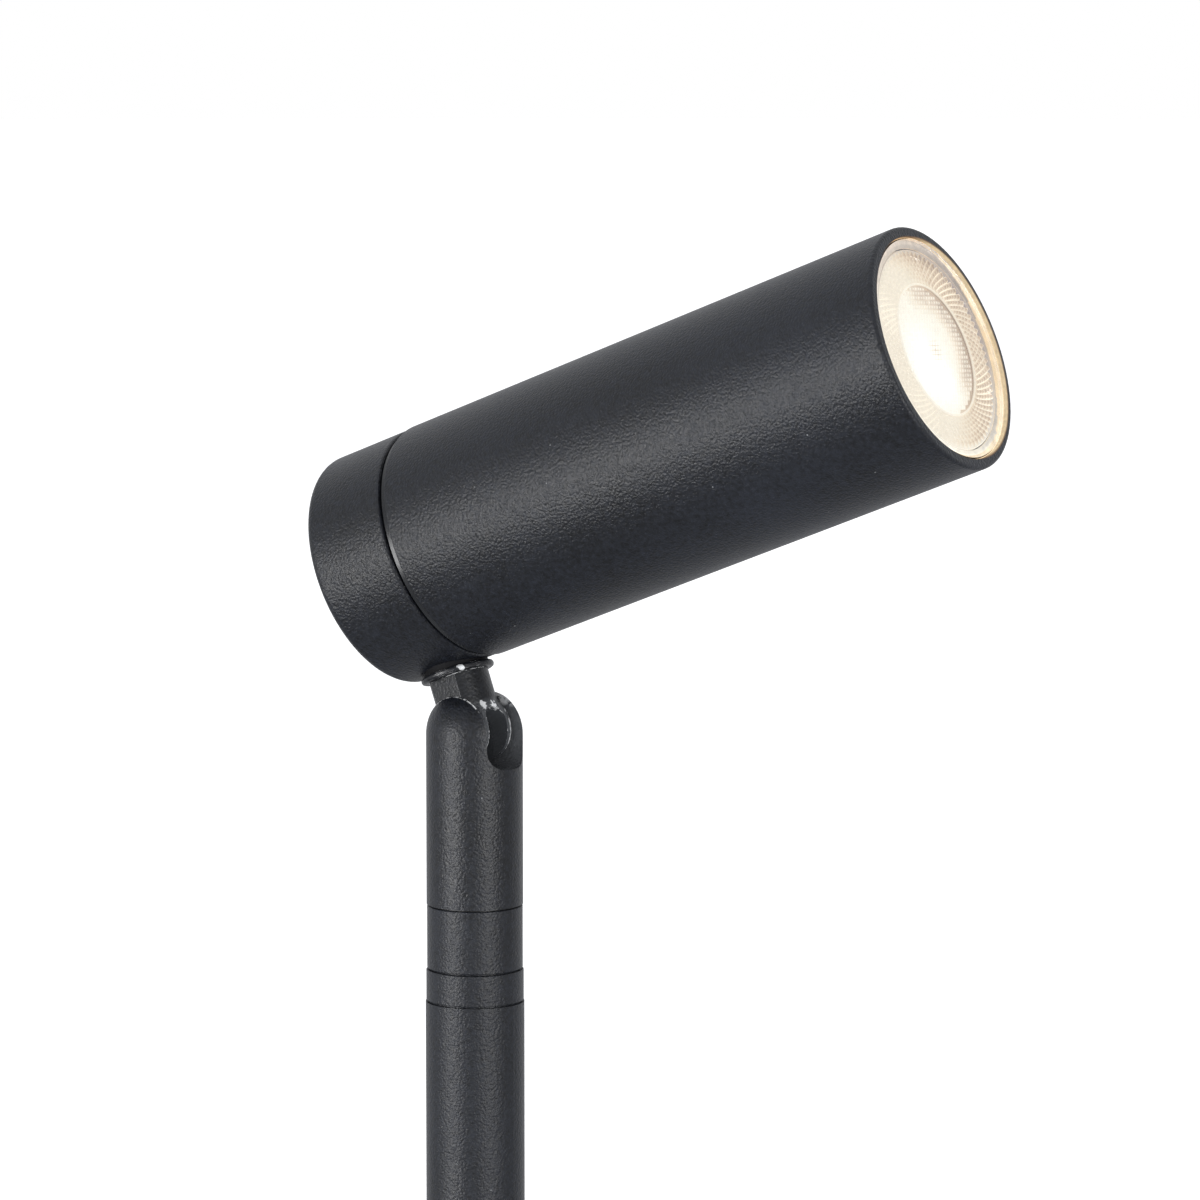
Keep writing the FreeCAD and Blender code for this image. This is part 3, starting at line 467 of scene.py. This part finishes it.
# ------------------------------------------------------------- mesh building
def make_object(name, verts, faces, mat, smooth=False, glow=None):
    me = bpy.data.meshes.new(name)
    me.from_pydata([tuple(v) for v in verts], [], faces)
    me.validate()
    if glow is not None:
        ca = me.color_attributes.new("glow", "FLOAT_COLOR", "CORNER")
        for poly in me.polygons:
            for li in poly.loop_indices:
                vi = me.loops[li].vertex_index
                c = glow(poly.index, vi)
                ca.data[li].color = (c[0], c[1], c[2], 1.0)
    me.materials.append(mat)
    for p in me.polygons:
        p.use_smooth = smooth
    o = bpy.data.objects.new(name, me)
    scene.collection.objects.link(o)
    return o


def fix_normals(o):
    bm = bmesh.new()
    bm.from_mesh(o.data)
    bmesh.ops.recalc_face_normals(bm, faces=bm.faces)
    bm.to_mesh(o.data)
    bm.free()


def lathe(name, prof, mat, seg=160, closed=True, smooth=True, glow=None, radius_noise=None):
    """Ring-shaped solid turned about the head axis; prof is a closed list of (x, r) in mm."""
    verts, faces = [], []
    n = len(prof)
    for j in range(seg):
        a = 2 * math.pi * j / seg
        for i, (x, r) in enumerate(prof):
            dr = radius_noise(a, i) if radius_noise else 0.0
            verts.append(head_point(x, r + dr, a))
    for j in range(seg):
        k = (j + 1) % seg
        for i in range(n if closed else n - 1):
            i2 = (i + 1) % n
            faces.append((j * n + i, j * n + i2, k * n + i2, k * n + i))
    g = None
    if glow:
        angs = [2 * math.pi * (v // n) / seg for v in range(len(verts))]
        g = lambda f, v: glow(prof[v % n][0], prof[v % n][1], angs[v])
    return make_object(name, verts, faces, mat, smooth, g)


# --------------------------------------------------------------- the lit lens
lens_x0, lens_x1, lens_r = span("lamp_lens")


def smoothstep(a, b, x):
    t = max(0.0, min(1.0, (x - a) / (b - a)))
    return t * t * (3 - 2 * t)


STOPS = [(0.0, (0.045, 0.030, 0.028)), (0.2, (0.13, 0.085, 0.065)), (0.4, (0.33, 0.21, 0.13)),
         (0.6, (0.60, 0.43, 0.29)), (0.8, (0.80, 0.66, 0.49)), (0.95, (0.90, 0.81, 0.67)),
         (1.1, (1.02, 0.96, 0.86)), (1.4, (1.3, 1.25, 1.16))]


def warm(b):
    """Colour of the lamp's light leaving a facet, from dark amber to warm white."""
    b = max(0.0, min(1.4, b))
    for (p0, c0), (p1, c1) in zip(STOPS, STOPS[1:]):
        if b <= p1:
            t = (b - p0) / (p1 - p0)
            return tuple(x + (y - x) * t for x, y in zip(c0, c1))
    return STOPS[-1][1]


def side(y, z):
    """0 on the side away from +Y, 1 on the +Y side, in mm on the lens face."""
    return smoothstep(-13.0, 15.0, y + z * 0.10)


def blend3(a, b, t):
    t = max(0.0, min(1.0, t))
    return tuple(x * (1 - t) + y * t for x, y in zip(a, b))


RIM_LIGHT = (0.86, 0.78, 0.66)      # cream where the lamp spills over the rim
RIM_TAN = (0.47, 0.38, 0.31)        # tan grey along the top
RIM_GREY = (0.27, 0.20, 0.175)      # purple grey on the +Y side


def rim_colour(y, z):
    """Colour of the smooth rim round the facets."""
    r = math.hypot(y, z) or 1.0
    yn, zn = y / r, z / r
    c = blend3(RIM_LIGHT, RIM_TAN, smoothstep(-0.25, 0.75, zn + 0.35 * yn))
    return blend3(c, RIM_GREY, smoothstep(0.05, 0.95, yn) * (0.62 + 0.38 * smoothstep(-0.7, 0.4, zn)))


def lens_body():
    """Moulded body: flat rim, a seat for the facet ring, a shallow dish, and the inner horn."""
    x1 = lens_x1
    prof = [(x1 - 0.75, 0.02), (x1 - 1.0, 15.9), (x1 - 0.62, 16.35), (x1 - 0.62, 24.56),
            (x1 - 0.25, 24.60), (x1 - 0.16, 24.64), (x1 - 0.16, 24.68), (x1 - 0.24, 24.73),
            (x1 - 0.5, 24.78), (x1 - 1.15, 24.78), (x1 - 1.15, 23.93), (x1 - 3.15, 23.93),
            (x1 - 3.15, 20.4), (x1 - 8.0, 18.0), (x1 - 16.5, 8.4), (x1 - 16.5, 0.02)]

    def glow(x, r, a):
        y, z = r * math.cos(a), r * math.sin(a)
        if x < x1 - 1.05:
            return warm(0.5)
        s = side(y, z)
        if r > 24.5:
            c = rim_colour(y, z)
            if 24.5 < r < 24.7:
                c = tuple(v * 1.22 for v in c)
            return c
        return warm(0.92 - 0.42 * s)
    return lathe("lamp_lens_body", prof, mats["lens"], 156, True, True, glow)


def facet_ring():
    """Crossing spirals cut the ring into rows of diamonds, each a low pyramid."""
    N, ROWS = 78, 7
    r_in, r_out = 16.6, 24.55
    # rows widen outwards so that the diamonds keep their shape
    q = (r_out / r_in) ** (1.0 / ROWS)
    radii = [r_in * q ** i for i in range(ROWS + 1)]
    base_x, tip_x, low_x = lens_x1 - 0.55, lens_x1 - 0.10, lens_x1 - 0.7
    verts, faces, info = [], [], []
    idx = {}
    polar = []

    def add(key, x, r, t):
        if key not in idx:
            idx[key] = len(verts)
            a = 2 * math.pi * t / N
            verts.append(head_point(x, r, a))
            polar.append((r * math.cos(a), r * math.sin(a)))
        return idx[key]

    def row(i, j2):
        """Node of row i at half-tooth j2."""
        return add(("n", i, j2 % (2 * N)), base_x, radii[i], j2 / 2)
    tops = set()
    for i in range(ROWS - 1):
        for j in range(N):
            # diamond from row i to i + 2, its middle on row i + 1
            j2 = 2 * j + (i % 2)
            rm, k2 = (radii[i] + radii[i + 2]) / 2, j2 % (2 * N)
            outer = [row(i, j2), row(i + 1, j2 + 1), row(i + 2, j2), row(i + 1, j2 - 1)]
            f = 0.58
            inner = [add(("t0", i, k2), tip_x, rm + (radii[i] - rm) * f, j2 / 2),
                     add(("t1", i, k2), tip_x, rm + (radii[i + 1] - rm) * f, j2 / 2 + 0.5 * f),
                     add(("t2", i, k2), tip_x, rm + (radii[i + 2] - rm) * f, j2 / 2),
                     add(("t3", i, k2), tip_x, rm + (radii[i + 1] - rm) * f, j2 / 2 - 0.5 * f)]
            c = add(("c", i, k2), tip_x + 0.05, rm, j2 / 2)
            tops.update(inner)
            tops.add(c)
            for k in range(4):
                a0, a1, b0, b1 = outer[k], outer[(k + 1) % 4], inner[k], inner[(k + 1) % 4]
                faces.append((a0, a1, b1, b0))
                info.append(("pyr", c))
                faces.append((b0, b1, c))
                info.append(("pyr", c))
    # the half diamonds along both edges
    for j in range(N):
        j2 = 2 * j
        l, rr, t = row(0, j2), row(0, j2 + 2), row(1, j2 + 1)
        faces.append((l, rr, t))
        info.append(("edge", t))
        s = ROWS % 2
        j2 = 2 * j + s
        l, rr, t = row(ROWS, j2), row(ROWS, j2 + 2), row(ROWS - 1, j2 + 1)
        faces.append((l, t, rr))
        info.append(("edge", t))
    # inner and outer walls and the underside
    for j in range(N):
        a0, a1 = row(0, 2 * j), row(0, 2 * j + 2)
        b0 = add(("bi", 0, 2 * j), low_x, radii[0], j)
        b1 = add(("bi", 0, (2 * j + 2) % (2 * N)), low_x, radii[0], j + 1)
        faces.append((a0, b0, b1, a1))
        info.append(("wall", a0))
        s = ROWS % 2
        c0, c1 = row(ROWS, 2 * j + s), row(ROWS, 2 * j + s + 2)
        d0 = add(("bo", 0, (2 * j + s) % (2 * N)), low_x, radii[ROWS], j + s / 2)
        d1 = add(("bo", 0, (2 * j + s + 2) % (2 * N)), low_x, radii[ROWS], j + 1 + s / 2)
        faces.append((c0, c1, d1, d0))
        info.append(("wall", c0))
        faces.append((b0, d0, b1))
        info.append(("wall", b0))
        faces.append((b1, d0, d1))
        info.append(("wall", b0))
    w = Vector((0.85, -0.35))

    lean = []
    for f, (kind, c) in zip(faces, info):
        if kind == "pyr":
            p = Vector(polar[f[0]]) + Vector(polar[f[1]])
            out = p / 2 - Vector(polar[c])
            lean.append(out.normalized())
        else:
            lean.append(Vector((0, 0)))

    rnd = random.Random(3)
    jitter = {}

    def glow(fi, vi):
        kind, c = info[fi]
        y, z = polar[c]
        r = math.hypot(y, z)
        t = (r - r_in) / (r_out - r_in)
        yn, zn = y / r, z / r
        if c not in jitter:
            jitter[c] = rnd.uniform(-1, 1)
        # how clearly the diamonds show: full on the +Y side, lost on the other
        k = smoothstep(-0.42, 0.45, yn + 0.10 * zn + 0.35 * (t - 0.6))
        top = smoothstep(0.3, 0.95, zn) * smoothstep(0.35, 1.0, t)
        level = 0.91 + 0.09 * k - 0.22 * top * k - 0.03 * smoothstep(0.5, 1.0, t) * k
        gap = 0.025 + 0.47 * k
        b = level + 0.05 * k * jitter[c]
        if kind == "pyr":
            # a tan middle inside bright borders, brightest on the far side of each diamond
            if vi == c:
                b -= gap
            elif vi in tops:
                b -= gap * (0.52 - 0.40 * lean[fi].dot(w))
            else:
                b += k * (0.06 + 0.16 * lean[fi].dot(w))
        elif kind == "edge":
            if t > 0.5:
                return blend3(warm(level), rim_colour(y, z), 0.25 + 0.75 * k)
            b = level - 0.5 * gap
        elif kind == "wall":
            b = 0.40
        c3 = warm(b)
        return (c3[0], c3[1] * (1 - 0.045 * k), c3[2] * (1 - 0.11 * k))
    o = make_object("lens_facet_ring", verts, faces, mats["lens"], False, glow)
    return o


def ring_bead():
    """Raised bead between the dish and the facet ring."""
    cx, cr, br = lens_x1 - 0.5, 16.25, 0.3
    prof = [(cx + br * 1.3 * math.sin(t), cr + br * math.cos(t))
            for t in [2 * math.pi * k / 14 for k in range(14)]]

    def glow(x, r, a):
        y, z = r * math.cos(a), r * math.sin(a)
        s = side(y, z)
        crest = smoothstep(-0.15, 0.25, x - cx)
        return warm(0.86 + 0.14 * crest - 0.48 * s * (1 - crest) - 0.10 * s)
    return lathe("lens_ring_bead", prof, mats["lens"], 156, True, True, glow)


def centre_plate():
    """Dished middle with a skewed grid of lenslets, each a pillow with four slopes."""
    pitch = 1.28
    R = 15.95
    e1 = Vector((1.0, 0.0))
    e2 = Vector((math.cos(math.radians(62)), math.sin(math.radians(62))))
    n = int(R / pitch) + 3
    verts, faces, info, flat = [], [], [], []
    idx = {}

    def clip(p):
        l = p.length
        return p if l <= R else p * (R / l)

    def add(key, p, x):
        if key not in idx:
            idx[key] = len(verts)
            r = math.hypot(p.x, p.y)
            a = math.atan2(p.y, p.x)
            dish = 0.12 * (1 - (r / R) ** 2)
            verts.append(head_point(x + dish, r, a))
            flat.append((p.x, p.y))
        return idx[key]
    base_x, tip_x, low_x = lens_x1 - 0.92, lens_x1 - 0.70, lens_x1 - 1.15
    for i in range(-n, n):
        for j in range(-n, n):
            ps = [e1 * (i + a) * pitch + e2 * (j + b) * pitch for a, b in ((0, 0), (1, 0), (1, 1), (0, 1))]
            mid = (ps[0] + ps[2]) / 2
            if mid.length > R - 0.25:
                continue
            far = max(p.length for p in ps)
            ids = [add(("n", i + a, j + b), clip(p), base_x)
                   for p, (a, b) in zip(ps, ((0, 0), (1, 0), (1, 1), (0, 1)))]
            c = add(("c", i, j), mid, tip_x if far <= R else base_x + 0.08)
            for k in range(4):
                faces.append((ids[k], ids[(k + 1) % 4], c))
                info.append(c)
    o_edges = {}
    for f in faces:
        for k in range(3):
            e = (f[k], f[(k + 1) % 3])
            o_edges[e] = True
    border = [e for e in o_edges if (e[1], e[0]) not in o_edges]
    low = {}
    for a, b in border:
        for v in (a, b):
            if v not in low:
                y, z = flat[v]
                r, t = math.hypot(y, z), math.atan2(z, y)
                low[v] = len(verts)
                verts.append(head_point(low_x, r, t))
                flat.append((y, z))
    cen = len(verts)
    verts.append(head_point(low_x, 0, 0))
    flat.append((0, 0))
    for a, b in border:
        faces.append((b, a, low[a], low[b]))
        info.append(a)
        faces.append((low[a], cen, low[b]))
        info.append(a)
    ntop = len(info)
    rnd = random.Random(5)
    jit = {}

    def glow(fi, vi):
        c = info[fi]
        y, z = flat[c]
        f = faces[fi]
        lx = sum(flat[v][0] for v in f) / len(f) - y
        lz = sum(flat[v][1] for v in f) / len(f) - z
        l = math.hypot(lx, lz) or 1.0
        lean = (-lx * 0.8 - lz * 0.25) / l
        r = math.hypot(y, z)
        yn, zn = (y / r, z / r) if r > 0.1 else (0, 0)
        hot = math.exp(-(((y + 5.5) / 9.0) ** 2 + ((z + 3.5) / 9.5) ** 2))
        low = math.exp(-(((y - 1.0) / 6.0) ** 2 + ((z + 8.5) / 5.0) ** 2))
        # beads of light along the +Y and upper edges
        k = smoothstep(-0.15, 0.55, yn + 0.42 * max(0.0, zn)) * smoothstep(8.2, 14.2, r) * smoothstep(-1.0, -0.45, zn)
        level = 1.02 + 0.30 * hot + 0.16 * low - 0.07 * k
        gap = 0.035 + 0.40 * k
        if c not in jit:
            jit[c] = rnd.uniform(-1, 1)
        b = level + 0.06 * k * lean + (0.03 + 0.05 * k) * jit[c] * (0.3 + k)
        b = b + 0.08 * k if vi == c else b - gap
        return warm(b)
    return make_object("lens_centre_plate", verts, faces, mats["lens"], False, glow)


lens_parts = [lens_body(), facet_ring(), ring_bead(), centre_plate()]
for o in lens_parts:
    fix_normals(o)
    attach(o, "lamp")
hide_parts("lamp_lens")

# ------------------------------------------------ the silicone bead round the glass
seal_x0, seal_x1, seal_r = span("glass_seal")
glass_x0, glass_x1, glass_r = span("front_glass")


def silicone_bead():
    """A hand-laid clear bead: uneven inner lip under the glass and a thin lip at its edge."""
    rnd = random.Random(11)
    waves = [(k, rnd.uniform(0, 6.283), rnd.uniform(0.3, 1.0) / (1 + 0.12 * k)) for k in (3, 5, 8, 13, 21, 34, 55)]
    notches = [(math.radians(t), w, dp) for t, w, dp in
               ((37, 0.020, 0.30), (112, 0.018, 0.35), (-52, 0.022, 0.45), (-58, 0.012, 0.3),
                (8, 0.012, 0.2), (52, 0.010, 0.2), (150, 0.010, 0.15), (-120, 0.012, 0.15))]
    xb, xt = seal_x0 + 0.02, seal_x1
    prof = [(xb, 25.02), (xb, 27.42), (xt - 0.30, 27.46), (xt - 0.06, 27.44), (xt + 0.02, 27.38),
            (xt - 0.02, glass_r + 0.03), (xt - 0.3, glass_r + 0.02), (glass_x0 - 0.02, glass_r + 0.02),
            (glass_x0 - 0.03, 26.95), (glass_x0 - 0.03, 26.45), (glass_x0 - 0.06, 26.2),
            (glass_x0 - 0.10, 25.7), (glass_x0 - 0.16, 25.25), (glass_x0 - 0.26, 25.04)]
    wob = {4: 0.10, 8: 0.25, 9: 1.0, 10: 1.0, 11: 0.5}

    def rn(a, i):
        if i not in wob:
            return 0.0
        v = sum(w * math.sin(k * a + p) for k, p, w in waves) / 4.0
        d = 0.10 * v
        for t, w, dp in notches:
            dd = math.atan2(math.sin(a - t), math.cos(a - t))
            d += dp * math.exp(-(dd / w) ** 2)
        return max(-0.12, min(0.55, d)) * wob[i]

    # painted glow: the lamp's light seen in the clear bead, set by position round the ring
    def glow(x, r, a):
        y, z = math.cos(a), math.sin(a)
        crown = smoothstep(0.30, 0.85, z) * (1 - smoothstep(0.45, 0.85, y))
        reach = 26.3 + 0.75 * crown - 1.15 * smoothstep(0.55, 0.95, y) * (1 - smoothstep(0.2, 0.75, z))
        if r < reach and x > xb + 0.05:
            c = rim_colour(y, z)
            k = smoothstep(25.6, 26.25, r)
            return tuple(v * (0.92 + 0.35 * k + 0.22 * (1 - smoothstep(-0.4, 0.4, y))) for v in c)
        right = smoothstep(-0.15, 0.75, y)
        low = smoothstep(0.2, 1.0, -z)
        v = 0.66 + 0.24 * low + 0.20 * right + 0.10 * sum(w * math.sin(2 * k * a + p) for k, p, w in waves) / 4
        core = 1.0 - abs(r - 26.8) / 0.45 if x < glass_x0 else 0.15
        c = warm(max(0.40, v + 0.22 * max(0.0, core)))
        gold = 0.72 if core > 0.4 else 1.0
        # the light in the bead is more golden than the lamp's own
        return (c[0] * 1.08, c[1] * (1 - 0.11 * gold), c[2] * (1 - 0.37 * gold))
    return lathe("glass_seal_bead", prof, mats["bead"], 360, True, True, glow, rn)


bead = silicone_bead()
fix_normals(bead)
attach(bead, "barrel_group")
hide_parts("glass_seal")


# --------------------------------------------------- cable through the knuckle
def cable_tube(name, path, r, mat, sides=28):
    """Round sheath with faint lengthwise ribs, along a list of points."""
    verts, faces = [], []
    n = len(path)
    for i, p in enumerate(path):
        t = (path[min(i + 1, n - 1)] - path[max(i - 1, 0)]).normalized()
        s = Y
        w = t.cross(s).normalized()
        for k in range(sides):
            a = 2 * math.pi * k / sides
            rr = r * (1.0 + 0.006 * math.cos(7 * a))
            verts.append(p + (s * math.cos(a) + w * math.sin(a)) * rr)
    for i in range(n - 1):
        for k in range(sides):
            k2 = (k + 1) % sides
            faces.append((i * sides + k, i * sides + k2, (i + 1) * sides + k2, (i + 1) * sides + k))
    faces.append(tuple(range(sides))[::-1])
    faces.append(tuple((n - 1) * sides + k for k in range(sides)))
    return make_object(name, verts, faces, mat, True)


def cable_path():
    lo = PIVOT + Vector((0, 0, -0.014))
    hi = PIVOT + U * 0.014
    pts = []
    for i in range(41):
        t = i / 40
        pts.append(lo * (1 - t) ** 2 + PIVOT * 2 * t * (1 - t) + hi * t ** 2)
    return pts


jc = cable_tube("joint_cable_sheath", cable_path(), 0.00255, mats["cable"])
fix_normals(jc)
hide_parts("joint_cable")
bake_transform(jc)

# ----------------------------------------------------------- floor and lights
lowest = cad_box[0][2] if hasattr(cad_box[0], "__getitem__") else min(cad_box)
floor_z = lowest - 0.0005
bm = bmesh.new()
R0 = 40.0
ring = [bm.verts.new((R0 * math.cos(2 * math.pi * k / 96), R0 * math.sin(2 * math.pi * k / 96), floor_z))
        for k in range(96)]
bm.faces.new(ring)
me = bpy.data.meshes.new("floor")
bm.to_mesh(me)
bm.free()
floor = bpy.data.objects.new("floor", me)
scene.collection.objects.link(floor)
fm, nt, out = new_material("floor_pale")
co = coords(nt)
tone = ramp(nt, noise(nt, co, 3.0, 3.0, 0.5), [(0.3, grey(0.86)), (0.7, grey(0.90))])
dif = node(nt, "ShaderNodeBsdfDiffuse", {"Color": tone, "Roughness": 0.6})
emi = node(nt, "ShaderNodeEmission", {"Color": (1, 1, 1, 1), "Strength": 0.62})
add = node(nt, "ShaderNodeAddShader", {0: dif.outputs[0], 1: emi.outputs[0]})
nt.links.new(add.outputs[0], out.inputs["Surface"])
floor.data.materials.append(fm)
floor.visible_glossy = False

world = bpy.data.worlds.new("studio")
scene.world = world
world.use_nodes = True
nt = world.node_tree
nt.nodes.clear()
wout = nt.nodes.new("ShaderNodeOutputWorld")
gen = node(nt, "ShaderNodeTexCoord").outputs["Generated"]
zc = node(nt, "ShaderNodeSeparateXYZ", {0: gen}).outputs["Z"]
height = node(nt, "ShaderNodeMapRange", {"Value": zc, "From Min": -1.0, "From Max": 1.0}).outputs["Result"]


def sky(stops):
    return ramp(nt, height, [((z + 1) / 2, (v * 0.985, v, v * 1.03, 1)) for z, v in stops])


front_sky = sky([(-1.0, 0.34), (-0.75, 0.19), (-0.35, 0.34), (-0.05, 0.56), (0.3, 0.46), (0.7, 0.56), (1.0, 0.88)])
back_sky = sky([(-1.0, 0.42), (-0.75, 0.62), (-0.4, 0.84), (0.0, 0.98), (0.5, 0.86), (1.0, 0.92)])
facing = node(nt, "ShaderNodeVectorMath", {0: gen, 1: (0.6273, -0.7788, 0.0)}, operation="DOT_PRODUCT").outputs["Value"]
turn = node(nt, "ShaderNodeMapRange", {"Value": facing, "From Min": -0.80, "From Max": -0.15}).outputs["Result"]
around = mix_colour(nt, turn, back_sky, front_sky)
lp = node(nt, "ShaderNodeLightPath").outputs["Is Camera Ray"]
bg1 = node(nt, "ShaderNodeBackground", {"Color": around, "Strength": 1.0})
bg2 = node(nt, "ShaderNodeBackground", {"Color": (1, 1, 1, 1), "Strength": 1.0})
mx = node(nt, "ShaderNodeMixShader", {0: lp, 1: bg1.outputs[0], 2: bg2.outputs[0]})
nt.links.new(mx.outputs[0], wout.inputs["Surface"])

target = Vector((0.02, 0, 0.30))
VIEW = Vector((0.6273, -0.7788, 0)).normalized()
RIGHT = Vector((0.7788, 0.6273, 0)).normalized()


def softbox(name, turn, elev, dist, w, h, power, colour=(1, 1, 1), at=target):
    t, e = math.radians(turn), math.radians(elev)
    d = (VIEW * math.cos(t) + RIGHT * math.sin(t)) * math.cos(e) + Vector((0, 0, math.sin(e)))
    la = bpy.data.lights.new(name, "AREA")
    la.shape = "RECTANGLE"
    la.size, la.size_y = w, h
    la.energy = power
    la.color = colour
    o = bpy.data.objects.new(name, la)
    scene.collection.objects.link(o)
    o.location = at + d * dist
    o.rotation_euler = (-d).to_track_quat("-Z", "Y").to_euler()
    o.visible_camera = False
    return o


softbox("soft_left", -54, -6, 2.2, 0.72, 0.95, 37)
softbox("soft_right", 33, -5, 2.2, 0.40, 1.2, 29)

# ------------------------------------------------------------------ the camera
cam = bpy.data.cameras.new("camera")
cam.sensor_width = 36.0
cam.sensor_fit = "HORIZONTAL"
cam.lens = 154.52
cam.clip_start, cam.clip_end = 0.05, 200.0
co_ = bpy.data.objects.new("camera", cam)
scene.collection.objects.link(co_)
co_.location = PIVOT + Vector((0.8171, -0.9649, 0.1694))
co_.rotation_euler = (math.radians(83.807), 0, math.radians(38.85))
scene.camera = co_
scene.view_settings.view_transform = "Standard"
scene.view_settings.look = "None"
